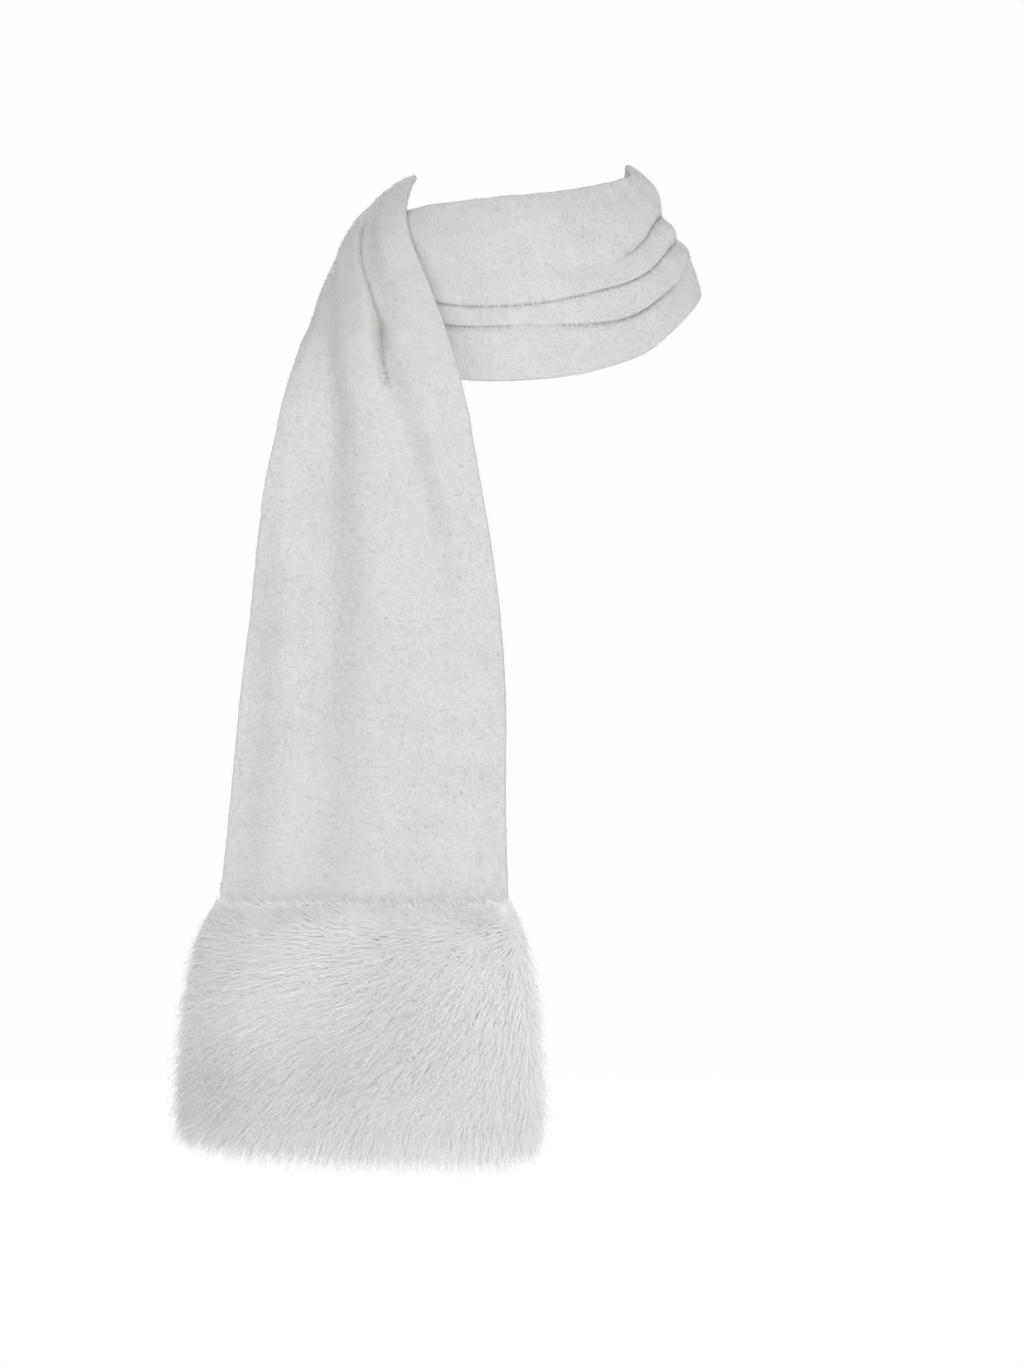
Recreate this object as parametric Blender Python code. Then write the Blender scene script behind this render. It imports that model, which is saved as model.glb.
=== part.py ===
"""Brushed knit scarf with a long-pile cuff on each end, as it hangs when wound once round a neck.

The scarf is one strip of cloth. It is followed here from the seam of the front cuff: up the
front end, over the left shoulder, round the nape, round the right side and across the throat,
under itself at the left shoulder and down the back end to the other cuff. A section across the
strip runs from its inner edge, which lies against the neck, to its outer edge. The outer face
is worked out smooth, the folds are pressed into it, and the wall gets its thickness inwards.

Tables are in millimetres and the meshes in metres. Left and right are those of the picture:
+X is to the right, +Y to the back and +Z up. The origin is the middle of the neck.
"""

import math
from typing import NamedTuple

import bmesh
import bpy
import numpy as np

MM = 0.001

WALL = 2.6  # thickness of the brushed knit
EDGE_ROUNDING = 0.8  # how far the strip's edge is rounded
SEAM_GAP = 0.3  # between two neighbouring pieces
SWELL_SKEW = 0.75  # below 1, a section swells nearer its inner edge than its outer one
ROWS_PER_SECTION = 3  # rows of faces between two sections of the table
COLUMNS_BETWEEN_FOLDS = (5, 5, 5, 5)  # columns of faces from edge to fold, to fold, and so on
CUFF_RING_POINTS = 48

CLOTH_COLOUR = (0.80, 0.81, 0.80, 1.0)
CLOTH_ROUGHNESS = 0.95
PILE_COLOUR = (0.84, 0.84, 0.83, 1.0)
PILE_ROUGHNESS = 0.9


class Section(NamedTuple):
    """One section across the strip: its two edges, and how far its middle stands out."""

    inner: tuple
    outer: tuple
    swell: float


FRONT_END = (
    Section((-7.5, -108, -349.5), (-170.5, -108, -349.5), 1),
    Section((-8.5, -109, -290.5), (-165, -109, -292), 2),
    Section((-10, -110, -234), (-160, -110, -237.5), 3),
    Section((-13.5, -112, -182), (-155, -110, -188), 5),
    Section((-19.5, -114, -130), (-149.5, -109, -142.5), 7),
    Section((-26.5, -116, -90.5), (-143.5, -106, -104.5), 9),
    Section((-31, -115, -65.5), (-138, -101, -77.5), 10),
    Section((-36.5, -112, -43.5), (-134, -94, -58.5), 11),
    Section((-42, -106, -25), (-130, -85, -43.5), 12),
    Section((-48.5, -98, -7.5), (-126, -74, -31), 12),
    Section((-55.5, -87, 10.5), (-122.5, -61, -19.5), 12),
    Section((-63, -72, 29), (-120, -46, -10), 12),
    Section((-66.5, -53, 46.5), (-118.5, -29, -3.5), 12.5),
    Section((-65, -29, 62), (-118, -12, 0.5), 13),
)
NAPE_WRAP = (
    Section((-62.5, -4, 75), (-118, 5, 1), 12.5),
    Section((-65, 24, 70), (-116, 33, -8), 12.5),
    Section((-61, 47, 60), (-105, 73, -18), 11),
    Section((-42, 65, 57), (-77, 104, -26), 10),
    Section((-12, 74, 56), (-22, 121, -30), 9),
    Section((20, 73, 58), (30, 117, -26), 9),
    Section((47, 57, 62), (70, 92, -14), 8),
    Section((61, 35, 73), (96, 53, -2), 8),
)
THROAT_WRAP = (
    Section((63, 16, 81.5), (106.5, 12, 5), 9),
    Section((65, 1, 76.5), (104, -8, -2.5), 9.5),
    Section((64, -12, 72), (97.5, -25, -11.5), 9),
    Section((55.5, -26, 68), (87.5, -45, -23.5), 9),
    Section((42, -41, 63.5), (71.5, -67, -35), 9),
    Section((25.5, -53, 59.5), (49, -87, -44.5), 9),
    Section((6.5, -62, 56.5), (24.5, -99, -50.5), 9),
    Section((-12.5, -66, 54.5), (-1, -105, -53), 9),
    Section((-32, -65, 52.5), (-26, -105, -53), 8),
    Section((-49.5, -58, 51.5), (-50.5, -100, -49.5), 7),
    Section((-60, -43, 51), (-71, -85, -39), 7),
    Section((-61, -22, 51.5), (-89, -62, -28), 8),
)
BACK_END = (
    Section((-58.5, 0, 53), (-103, -33, -18), 9),
    Section((-57, 24, 50), (-108, 0, -14), 9),
    Section((-57, 45, 40), (-109, 32, -20), 9),
    Section((-56, 63, 24), (-111, 55, -36), 9),
    Section((-52, 78, 4), (-115, 72, -56), 9),
    Section((-46, 89, -20), (-121, 84, -80), 8),
    Section((-39, 97, -55), (-129, 93, -108), 8),
    Section((-30, 101, -105), (-139, 99, -150), 6),
    Section((-23, 102, -175), (-148, 101, -208), 4),
    Section((-19, 102, -262), (-158, 101, -278), 3),
    Section((-16, 101, -362), (-168, 101, -362), 1),
)
SECTIONS = FRONT_END + NAPE_WRAP + THROAT_WRAP + BACK_END

NAPE = len(FRONT_END)  # the first section of each further stretch
THROAT = NAPE + len(NAPE_WRAP)
BACK = THROAT + len(THROAT_WRAP)
STRETCHES = {  # the piece's name, and the sections that it runs between
    "front_end": (0, NAPE),
    "nape_wrap": (NAPE, THROAT),
    "throat_wrap": (THROAT, BACK),
    "back_end": (BACK, len(SECTIONS) - 1),
}


class Crease(NamedTuple):
    """Where a fold crosses the strip.

    Place counts sections, across runs from 0 at the inner edge to 1 at the outer one, and the
    reaches are how wide the fold is on either side. Pinch is 1 for a sharp crease and 0 for a
    soft trough.
    """

    place: float
    across: float
    depth: float
    inner_reach: float
    outer_reach: float
    pinch: float


FOLDS = (
    (
        Crease(0, 0.20, 0.5, 22, 22, 0.0),
        Crease(2, 0.20, 1.5, 22, 22, 0.0),
        Crease(4, 0.20, 4.5, 20, 20, 0.0),
        Crease(5.5, 0.21, 5.5, 18, 18, 0.0),
        Crease(7, 0.25, 5.0, 17, 17, 0.0),
        Crease(9, 0.23, 3.0, 15, 15, 0.0),
        Crease(11, 0.17, 0.0, 13, 13, 0.0),
        Crease(14, 0.09, 3.0, 11, 13, 0.0),
        Crease(17, 0.27, 4.5, 14, 13, 0.7),
        Crease(20, 0.31, 4.0, 13, 14, 0.7),
        Crease(22.6, 0.36, 10.5, 21, 18, 0.4),
        Crease(24.2, 0.33, 8.0, 16, 14, 0.7),
        Crease(25.2, 0.42, 5.0, 15, 12, 0.8),
        Crease(26.3, 0.47, 2.5, 15, 13, 0.3),
        Crease(28, 0.42, 1.4, 16, 16, 0.0),
        Crease(31, 0.37, 1.2, 16, 16, 0.0),
        Crease(34, 0.30, 2.0, 15, 15, 0.2),
        Crease(37, 0.25, 4.5, 16, 16, 0.1),
        Crease(39, 0.23, 6.0, 19, 19, 0.0),
        Crease(41.5, 0.20, 3.5, 22, 22, 0.0),
        Crease(44, 0.20, 0.5, 22, 22, 0.0),
    ),
    (
        Crease(0, 0.42, 0.0, 20, 11, 0.8),
        Crease(5, 0.38, 0.0, 20, 11, 0.8),
        Crease(6.3, 0.38, 2.0, 20, 11, 0.8),
        Crease(8.2, 0.39, 9.0, 22, 11, 0.8),
        Crease(9.3, 0.36, 10.0, 22, 11, 0.8),
        Crease(11, 0.32, 8.0, 22, 11, 0.8),
        Crease(12.5, 0.26, 6.0, 18, 12, 0.8),
        Crease(14, 0.22, 4.5, 14, 12, 0.5),
        Crease(17, 0.52, 6.0, 13, 13, 0.9),
        Crease(20, 0.54, 6.5, 13, 12, 0.9),
        Crease(22.6, 0.575, 8.5, 17, 17, 0.5),
        Crease(24, 0.55, 7.0, 14, 13, 0.8),
        Crease(25.4, 0.60, 6.5, 10, 10, 0.95),
        Crease(27, 0.61, 6.0, 11, 9, 0.95),
        Crease(29, 0.63, 5.5, 12, 8, 0.95),
        Crease(31, 0.61, 6.5, 12, 9, 0.95),
        Crease(34, 0.55, 5.0, 13, 13, 0.7),
        Crease(37, 0.46, 8.0, 18, 12, 0.8),
        Crease(39, 0.42, 8.0, 20, 12, 0.7),
        Crease(41, 0.42, 0.0, 20, 12, 0.7),
        Crease(44, 0.42, 0.0, 20, 12, 0.7),
    ),
    (
        Crease(0, 0.60, 0.8, 26, 26, 0.0),
        Crease(2, 0.65, 2.8, 25, 25, 0.0),
        Crease(4, 0.63, 4.5, 24, 24, 0.0),
        Crease(6.5, 0.66, 5.5, 20, 20, 0.0),
        Crease(8.5, 0.70, 4.5, 17, 17, 0.0),
        Crease(10.5, 0.70, 2.5, 15, 15, 0.0),
        Crease(14, 0.72, 1.0, 14, 14, 0.2),
        Crease(17, 0.77, 5.0, 13, 13, 0.8),
        Crease(20, 0.76, 4.5, 13, 13, 0.8),
        Crease(22.5, 0.78, 0.5, 13, 13, 0.5),
        Crease(24, 0.79, 1.0, 13, 13, 0.5),
        Crease(25, 0.78, 6.0, 10, 12, 0.95),
        Crease(26.4, 0.79, 5.5, 10, 12, 0.95),
        Crease(28, 0.75, 5.0, 8, 13, 0.9),
        Crease(30.5, 0.73, 6.5, 9, 13, 0.9),
        Crease(34, 0.75, 3.0, 13, 13, 0.6),
        Crease(38, 0.72, 5.0, 18, 18, 0.1),
        Crease(41, 0.66, 4.0, 24, 24, 0.0),
        Crease(44, 0.62, 0.8, 26, 26, 0.0),
    ),
)


class Ring(NamedTuple):
    """One level of a cuff.

    Drop is below the seam. The two overhangs are how far it stands out past the strip's
    inner and outer edge.
    """

    drop: float
    inner_overhang: float
    outer_overhang: float
    half_depth: float


CUFF_RINGS = (
    Ring(0, 0, 0, 7),
    Ring(4, 4, 6.5, 13),
    Ring(9, 7.5, 10, 18),
    Ring(20, 13.5, 15, 22.5),
    Ring(42, 19, 21.5, 26),
    Ring(65, 21.5, 25, 27.5),
    Ring(88, 23.5, 28, 28),
    Ring(110, 25.5, 29.5, 27.5),
    Ring(124, 26.5, 29.5, 25),
    Ring(134, 25, 24, 20.5),
    Ring(141, 18, 13, 14),
    Ring(145, 4, -8, 7),
)
CUFF_SQUARENESS = 2.6  # exponent of the ring's outline, 2 for an ellipse
CUFF_TILT = 4.0  # how much lower the cuff's rim hangs at its inner side
LOCK_HEIGHT = 1.6  # how far a lock of pile stands out
LOCKS_ROUND = 11  # locks round the cuff
LOCK_TIERS = 4.5  # half waves of locks from the seam to the rim
LOCK_SLANT = 2.2  # half turns that a lock leans from the seam to the rim
LOCK_WANDER = 3  # waves by which the tiers rise and fall round the cuff
FINE_LOCK_SHARE = 0.4  # of the height, given to locks of half the width


def smooth_curve(knots, values, places):
    """Smooth curve through values at knots, read at places. Knots may be unevenly spaced."""
    knots = np.asarray(knots, float)
    values = np.asarray(values, float).reshape(len(knots), -1)
    steps = np.diff(knots)[:, None]
    slopes = np.diff(values, axis=0) / steps
    tangents = np.empty_like(values)
    tangents[0], tangents[-1] = slopes[0], slopes[-1]
    weighted = slopes[:-1] * steps[1:] + slopes[1:] * steps[:-1]
    tangents[1:-1] = weighted / (steps[1:] + steps[:-1])
    i = np.clip(np.searchsorted(knots, places, side="right") - 1, 0, len(steps) - 1)
    step = steps[i]
    t = (places - knots[i])[:, None] / step
    return (
        (2 * t**3 - 3 * t**2 + 1) * values[i]
        + (t**3 - 2 * t**2 + t) * step * tangents[i]
        + (3 * t**2 - 2 * t**3) * values[i + 1]
        + (t**3 - t**2) * step * tangents[i + 1]
    )


def section_runs():
    """Distance of each section from the front cuff, measured midway between the edges."""
    middles = np.array([(np.array(s.inner) + np.array(s.outer)) / 2 for s in SECTIONS])
    return np.concatenate([[0], np.cumsum(np.linalg.norm(np.diff(middles, axis=0), axis=1))])


def unit(vectors):
    """Vectors along the last axis, scaled to length 1."""
    return vectors / np.linalg.norm(vectors, axis=-1, keepdims=True)


def fold_values(fold, places):
    """Across, depth, inner reach, outer reach and pinch of a fold, an array for each."""
    table = np.array([tuple(crease) for crease in fold], float)
    found = smooth_curve(table[:, 0], table[:, 1:], places)
    found[:, 1:] = np.clip(found[:, 1:], 0, None)
    return found.T


def column_places(places):
    """Where the columns lie from edge to edge, so that every fold runs along a column."""
    edge = np.zeros(len(places))
    lines = [edge] + [fold_values(fold, places)[0] for fold in FOLDS] + [edge + 1]
    columns = [edge]
    for line, following, count in zip(lines, lines[1:], COLUMNS_BETWEEN_FOLDS):
        for i in range(count):
            columns.append(line + (following - line) * (i + 1) / count)
    return np.stack(columns, axis=1)


def smooth_face(places, across):
    """Points of the outer face before it is folded, and the strip's direction at each row."""
    knots = section_runs()
    runs = np.interp(places, np.arange(len(knots)), knots)
    inner = smooth_curve(knots, [s.inner for s in SECTIONS], runs)
    outer = smooth_curve(knots, [s.outer for s in SECTIONS], runs)
    swell = smooth_curve(knots, [s.swell for s in SECTIONS], runs)
    rim = unit(outer - inner) * EDGE_ROUNDING
    inner, outer = inner + rim, outer - rim
    forward = unit(np.gradient(inner + outer, runs, axis=0))
    outward = unit(np.cross(forward, outer - inner))
    share = across[:, :, None]
    crown = np.sin(math.pi * share**SWELL_SKEW)
    points = inner[:, None] * (1 - share) + outer[:, None] * share
    return points + outward[:, None] * swell[:, None] * crown, forward


def face_normals(points):
    """Outward unit normals of a grid of points."""
    return unit(np.cross(np.gradient(points, axis=0), np.gradient(points, axis=1)))


def fold_depth(places, across, lengths):
    """How deep the folds press each point in. Lengths are those of the rows, edge to edge."""
    depth = np.zeros_like(across)
    for fold in FOLDS:
        line, deepest, inner_reach, outer_reach, pinch = fold_values(fold, places)[:, :, None]
        away = (across - line) * lengths[:, None]
        away = np.where(away < 0, -away / inner_reach, away / outer_reach).clip(0, 1)
        pinched = (1 - away) ** 3
        soft = (1 + np.cos(math.pi * away)) / 2
        depth += deepest * (pinch * pinched + (1 - pinch) * soft)
    return depth


def strip_faces():
    """The whole strip's outer face, inner face and forward direction, by rows."""
    places = np.linspace(0, len(SECTIONS) - 1, (len(SECTIONS) - 1) * ROWS_PER_SECTION + 1)
    across = column_places(places)
    smooth, forward = smooth_face(places, across)
    lengths = np.linalg.norm(np.diff(smooth, axis=1), axis=2).sum(axis=1)
    depth = fold_depth(places, across, lengths)
    outside = smooth - face_normals(smooth) * depth[:, :, None]
    inside = outside - face_normals(outside) * WALL
    return outside, inside, forward


def material(name, colour, roughness):
    """A plain Principled material."""
    made = bpy.data.materials.new(name)
    made.use_nodes = True
    shader = made.node_tree.nodes["Principled BSDF"]
    shader.inputs["Base Color"].default_value = colour
    shader.inputs["Roughness"].default_value = roughness
    made.diffuse_color = colour
    return made


def tube(rings):
    """A bmesh that joins closed rings of points, open at its ends, and its loops of vertices."""
    shape = bmesh.new()
    loops = [[shape.verts.new(point) for point in ring * MM] for ring in rings]
    count = len(loops[0])
    for loop, following in zip(loops, loops[1:]):
        for i in range(count):
            j = (i + 1) % count
            shape.faces.new((loop[i], following[i], following[j], loop[j]))
    return shape, loops


def add_object(name, shape, dressed):
    """Puts a filled bmesh into the scene, shaded smooth, with one material."""
    mesh = bpy.data.meshes.new(name)
    shape.to_mesh(mesh)
    shape.free()
    mesh.materials.append(dressed)
    mesh.shade_smooth()
    made = bpy.data.objects.new(name, mesh)
    bpy.context.scene.collection.objects.link(made)


def close_end(shape, loop, columns, turned):
    """Closes one end of a stretch with a strip of faces between its two faces."""
    outer_row = loop[:columns]
    inner_row = loop[columns + 1 : 2 * columns + 1][::-1]
    pairs = list(zip(outer_row, inner_row))
    faces = [(loop[-1], pairs[0][0], pairs[0][1]), (pairs[-1][0], loop[columns], pairs[-1][1])]
    for (a, b), (c, d) in zip(pairs, pairs[1:]):
        faces.append((a, c, d, b))
    for face in faces:
        shape.faces.new(face[::-1] if turned else face)


def cloth_stretch(name, faces, dressed):
    """One stretch of the strip, half a seam's gap short of its neighbours."""
    first, last = (section * ROWS_PER_SECTION for section in STRETCHES[name])
    outside, inside, forward = (grid[first : last + 1].copy() for grid in faces)
    for end, side in ((0, 1), (-1, -1)):
        shift = forward[end] * side * SEAM_GAP / 2
        outside[end] += shift
        inside[end] += shift
    edges = []
    for edge, neighbour in ((0, 1), (-1, -2)):
        middle = (outside[:, edge] + inside[:, edge]) / 2
        away = unit(outside[:, edge] - outside[:, neighbour])
        edges.append((middle + away * EDGE_ROUNDING)[:, None])
    rings = np.concatenate([outside, edges[1], inside[:, ::-1], edges[0]], axis=1)
    shape, loops = tube(rings)
    columns = outside.shape[1]
    for loop, turned in ((loops[0], False), (loops[-1], True)):
        close_end(shape, loop, columns, turned)
    add_object(name, shape, dressed)


def lock_relief(angle, share):
    """How far the pile's locks stand out at an angle round the cuff and a share of its drop."""
    slanted = LOCKS_ROUND * angle + LOCK_SLANT * math.pi * share
    tier = math.sin(math.pi * LOCK_TIERS * share + math.sin(LOCK_WANDER * angle))
    broad = math.sin(slanted) * tier
    fine = math.sin(2 * slanted + tier)
    return LOCK_HEIGHT * (broad * (1 - FINE_LOCK_SHARE) + fine * FINE_LOCK_SHARE)


def cuff(name, section, dressed):
    """The pile cuff that hangs from one end of the strip, as the solid that its pile fills."""
    inner, outer = np.array(section.inner), np.array(section.outer)
    towards_neck = -math.copysign(WALL / 2, inner[1])
    power = 2 / CUFF_SQUARENESS
    rings = []
    for i, ring in enumerate(CUFF_RINGS):
        share = i / (len(CUFF_RINGS) - 1)
        right = inner[0] + ring.inner_overhang
        left = outer[0] - ring.outer_overhang
        points = []
        for step in range(CUFF_RING_POINTS):
            angle = 2 * math.pi * step / CUFF_RING_POINTS
            x = math.copysign(abs(math.cos(angle)) ** power, math.cos(angle))
            y = math.copysign(abs(math.sin(angle)) ** power, math.sin(angle))
            relief = math.sin(math.pi * share) * lock_relief(angle, share)
            points.append(
                (
                    (left + right) / 2 + x * ((right - left) / 2 + relief),
                    inner[1] + towards_neck + y * (ring.half_depth + relief),
                    inner[2] - SEAM_GAP - ring.drop - CUFF_TILT * share**2 * x,
                )
            )
        rings.append(np.array(points))
    shape, loops = tube(rings)
    shape.faces.new(loops[0])
    shape.faces.new(loops[-1][::-1])
    add_object(name, shape, dressed)


def clear_scene():
    """Removes every object, so that the scene holds only the scarf."""
    for old in list(bpy.data.objects):
        bpy.data.objects.remove(old)


def main():
    """Builds the four stretches of cloth and the two cuffs."""
    clear_scene()
    cloth = material("brushed_knit", CLOTH_COLOUR, CLOTH_ROUGHNESS)
    pile = material("long_pile", PILE_COLOUR, PILE_ROUGHNESS)
    faces = strip_faces()
    for name in STRETCHES:
        cloth_stretch(name, faces, cloth)
    cuff("front_cuff", SECTIONS[0], pile)
    cuff("back_cuff", SECTIONS[-1], pile)


main()
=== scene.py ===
"""Looks of a brushed knit scarf with a long-pile cuff on each end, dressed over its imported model.

The cloth is one strip, followed from the seam of the front cuff: up the front end, over the left
shoulder, round the nape, round the right side and across the throat, under itself at the left
shoulder and down the back end to the other cuff. The strip is worked out whole, as a soft shell
with its folds pressed in, and then cut into the stretches of the model, so that no line shows
where two of them meet. A fine nap stands on the cloth, and the cuffs are pile on a woolly core.

Tables are in millimetres and the meshes in metres. Left and right are those of the picture:
+X is to the right, +Y to the back and +Z up. The origin is the middle of the neck.
"""

import logging
import math
from dataclasses import dataclass
from enum import Enum
from typing import NamedTuple

import bpy
import numpy as np
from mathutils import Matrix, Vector


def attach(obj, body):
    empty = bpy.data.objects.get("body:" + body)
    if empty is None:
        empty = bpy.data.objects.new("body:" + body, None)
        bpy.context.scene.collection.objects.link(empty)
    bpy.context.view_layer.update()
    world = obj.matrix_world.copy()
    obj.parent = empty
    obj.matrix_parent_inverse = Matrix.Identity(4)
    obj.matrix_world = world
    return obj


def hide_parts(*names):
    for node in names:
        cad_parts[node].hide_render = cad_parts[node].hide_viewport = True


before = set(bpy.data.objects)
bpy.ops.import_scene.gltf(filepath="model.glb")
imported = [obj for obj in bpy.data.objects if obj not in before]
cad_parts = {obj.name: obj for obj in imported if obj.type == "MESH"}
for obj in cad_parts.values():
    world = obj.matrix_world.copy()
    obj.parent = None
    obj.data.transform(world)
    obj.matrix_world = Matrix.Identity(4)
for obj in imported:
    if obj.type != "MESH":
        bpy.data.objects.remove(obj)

LOG = logging.getLogger("scarf")
MM = 0.001

Array = np.ndarray
Chance = np.random.Generator
Material = bpy.types.Material
Object = bpy.types.Object
Socket = bpy.types.NodeSocket
Pair = tuple[float, float]
Point = tuple[float, float, float]
Colour = tuple[float, float, float, float]


class Section(NamedTuple):
    """One section across the strip: its two edges, and how far its middle stands out."""

    inner: Point
    outer: Point
    swell: float


FRONT_END = (
    Section((-7.5, -108, -349.5), (-170.5, -108, -349.5), 1),
    Section((-8.5, -109, -290.5), (-165, -109, -292), 2),
    Section((-8, -110, -234), (-160, -110, -237.5), 3),
    Section((-11.2, -112, -182), (-155, -110, -188), 5),
    Section((-19.5, -114, -130), (-149.5, -109, -142.5), 7),
    Section((-26.5, -116, -90.5), (-143.5, -106, -104.5), 9),
    Section((-31, -115, -65.5), (-138, -101, -77.5), 10),
    Section((-36.5, -112, -43.5), (-134, -94, -58.5), 11),
    Section((-42, -106, -25), (-130, -85, -43.5), 12),
    Section((-48.5, -98, -7.5), (-126, -74, -31), 12),
    Section((-55.5, -87, 10.5), (-122.5, -61, -19.5), 12),
    Section((-63, -72, 29), (-120, -46, -10), 12),
    Section((-66.5, -53, 46.5), (-118.5, -29, -3.5), 11.5),
    Section((-65, -29, 62), (-118, -12, 0.5), 11.5),
)
NAPE_WRAP = (
    Section((-62, -4, 73), (-118, 5, 1), 11.0),
    Section((-68.5, 24, 68), (-116, 33, -8), 11.5),
    Section((-66, 47, 55), (-105, 73, -18), 11),
    Section((-42, 65, 57), (-77, 104, -26), 10),
    Section((-12, 74, 56), (-22, 121, -30), 9),
    Section((20, 73, 58), (30, 117, -26), 9),
    Section((47, 57, 62), (70, 92, -14), 8),
    Section((61, 35, 73), (96, 53, -2), 8),
)
THROAT_WRAP = (
    Section((63, 16, 81.5), (106.5, 12, 5), 9),
    Section((65, 1, 76.5), (104, -8, -2.5), 9.5),
    Section((64, -12, 72), (97.5, -25, -10.5), 9),
    Section((55.5, -26, 68), (87.5, -45, -22), 9),
    Section((42, -41, 63.5), (71.5, -67, -35), 9),
    Section((25.5, -53, 59.5), (49, -87, -44.5), 9),
    Section((6.5, -62, 56.5), (24.5, -99, -50.5), 9),
    Section((-12.5, -66, 54.5), (-1, -105, -53), 9),
    Section((-32, -65, 52.5), (-26, -105, -53), 8),
    Section((-50.5, -58, 51), (-50.5, -100, -49.5), 8),
    Section((-64, -45, 49), (-71.5, -85, -39), 10),
    Section((-65.5, -25, 49), (-89, -62, -28), 11),
)
BACK_END = (
    Section((-60, -1, 50), (-103, -33, -18), 10),
    Section((-57.5, 24, 49), (-108, 0, -14), 9),
    Section((-57, 45, 40), (-109, 32, -20), 9),
    Section((-56, 63, 24), (-111, 55, -36), 9),
    Section((-52, 78, 4), (-115, 72, -56), 9),
    Section((-46, 89, -20), (-121, 84, -80), 8),
    Section((-39, 97, -55), (-129, 93, -108), 8),
    Section((-31.5, 101, -105), (-139, 99, -150), 6),
    Section((-28, 102, -175), (-148, 101, -208), 4),
    Section((-23, 102, -262), (-158, 101, -278), 3),
    Section((-16, 101, -362), (-168, 101, -362), 1),
)
SECTIONS = FRONT_END + NAPE_WRAP + THROAT_WRAP + BACK_END

NAPE = len(FRONT_END)  # the first section of each further stretch
THROAT = NAPE + len(NAPE_WRAP)
BACK = THROAT + len(THROAT_WRAP)
LAST = len(SECTIONS) - 1


class Crease(NamedTuple):
    """Where a fold crosses the strip.

    Place counts sections, across runs from 0 at the inner edge to 1 at the outer one, and the
    reaches are how wide the fold is on either side. Pinch is 1 for a sharp crease and 0 for a
    soft trough. Lap is how far the outer side hangs over the crease, or below 0 the inner side.
    """

    place: float
    across: float
    depth: float
    inner_reach: float
    outer_reach: float
    pinch: float
    lap: float = 0.0


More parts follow.
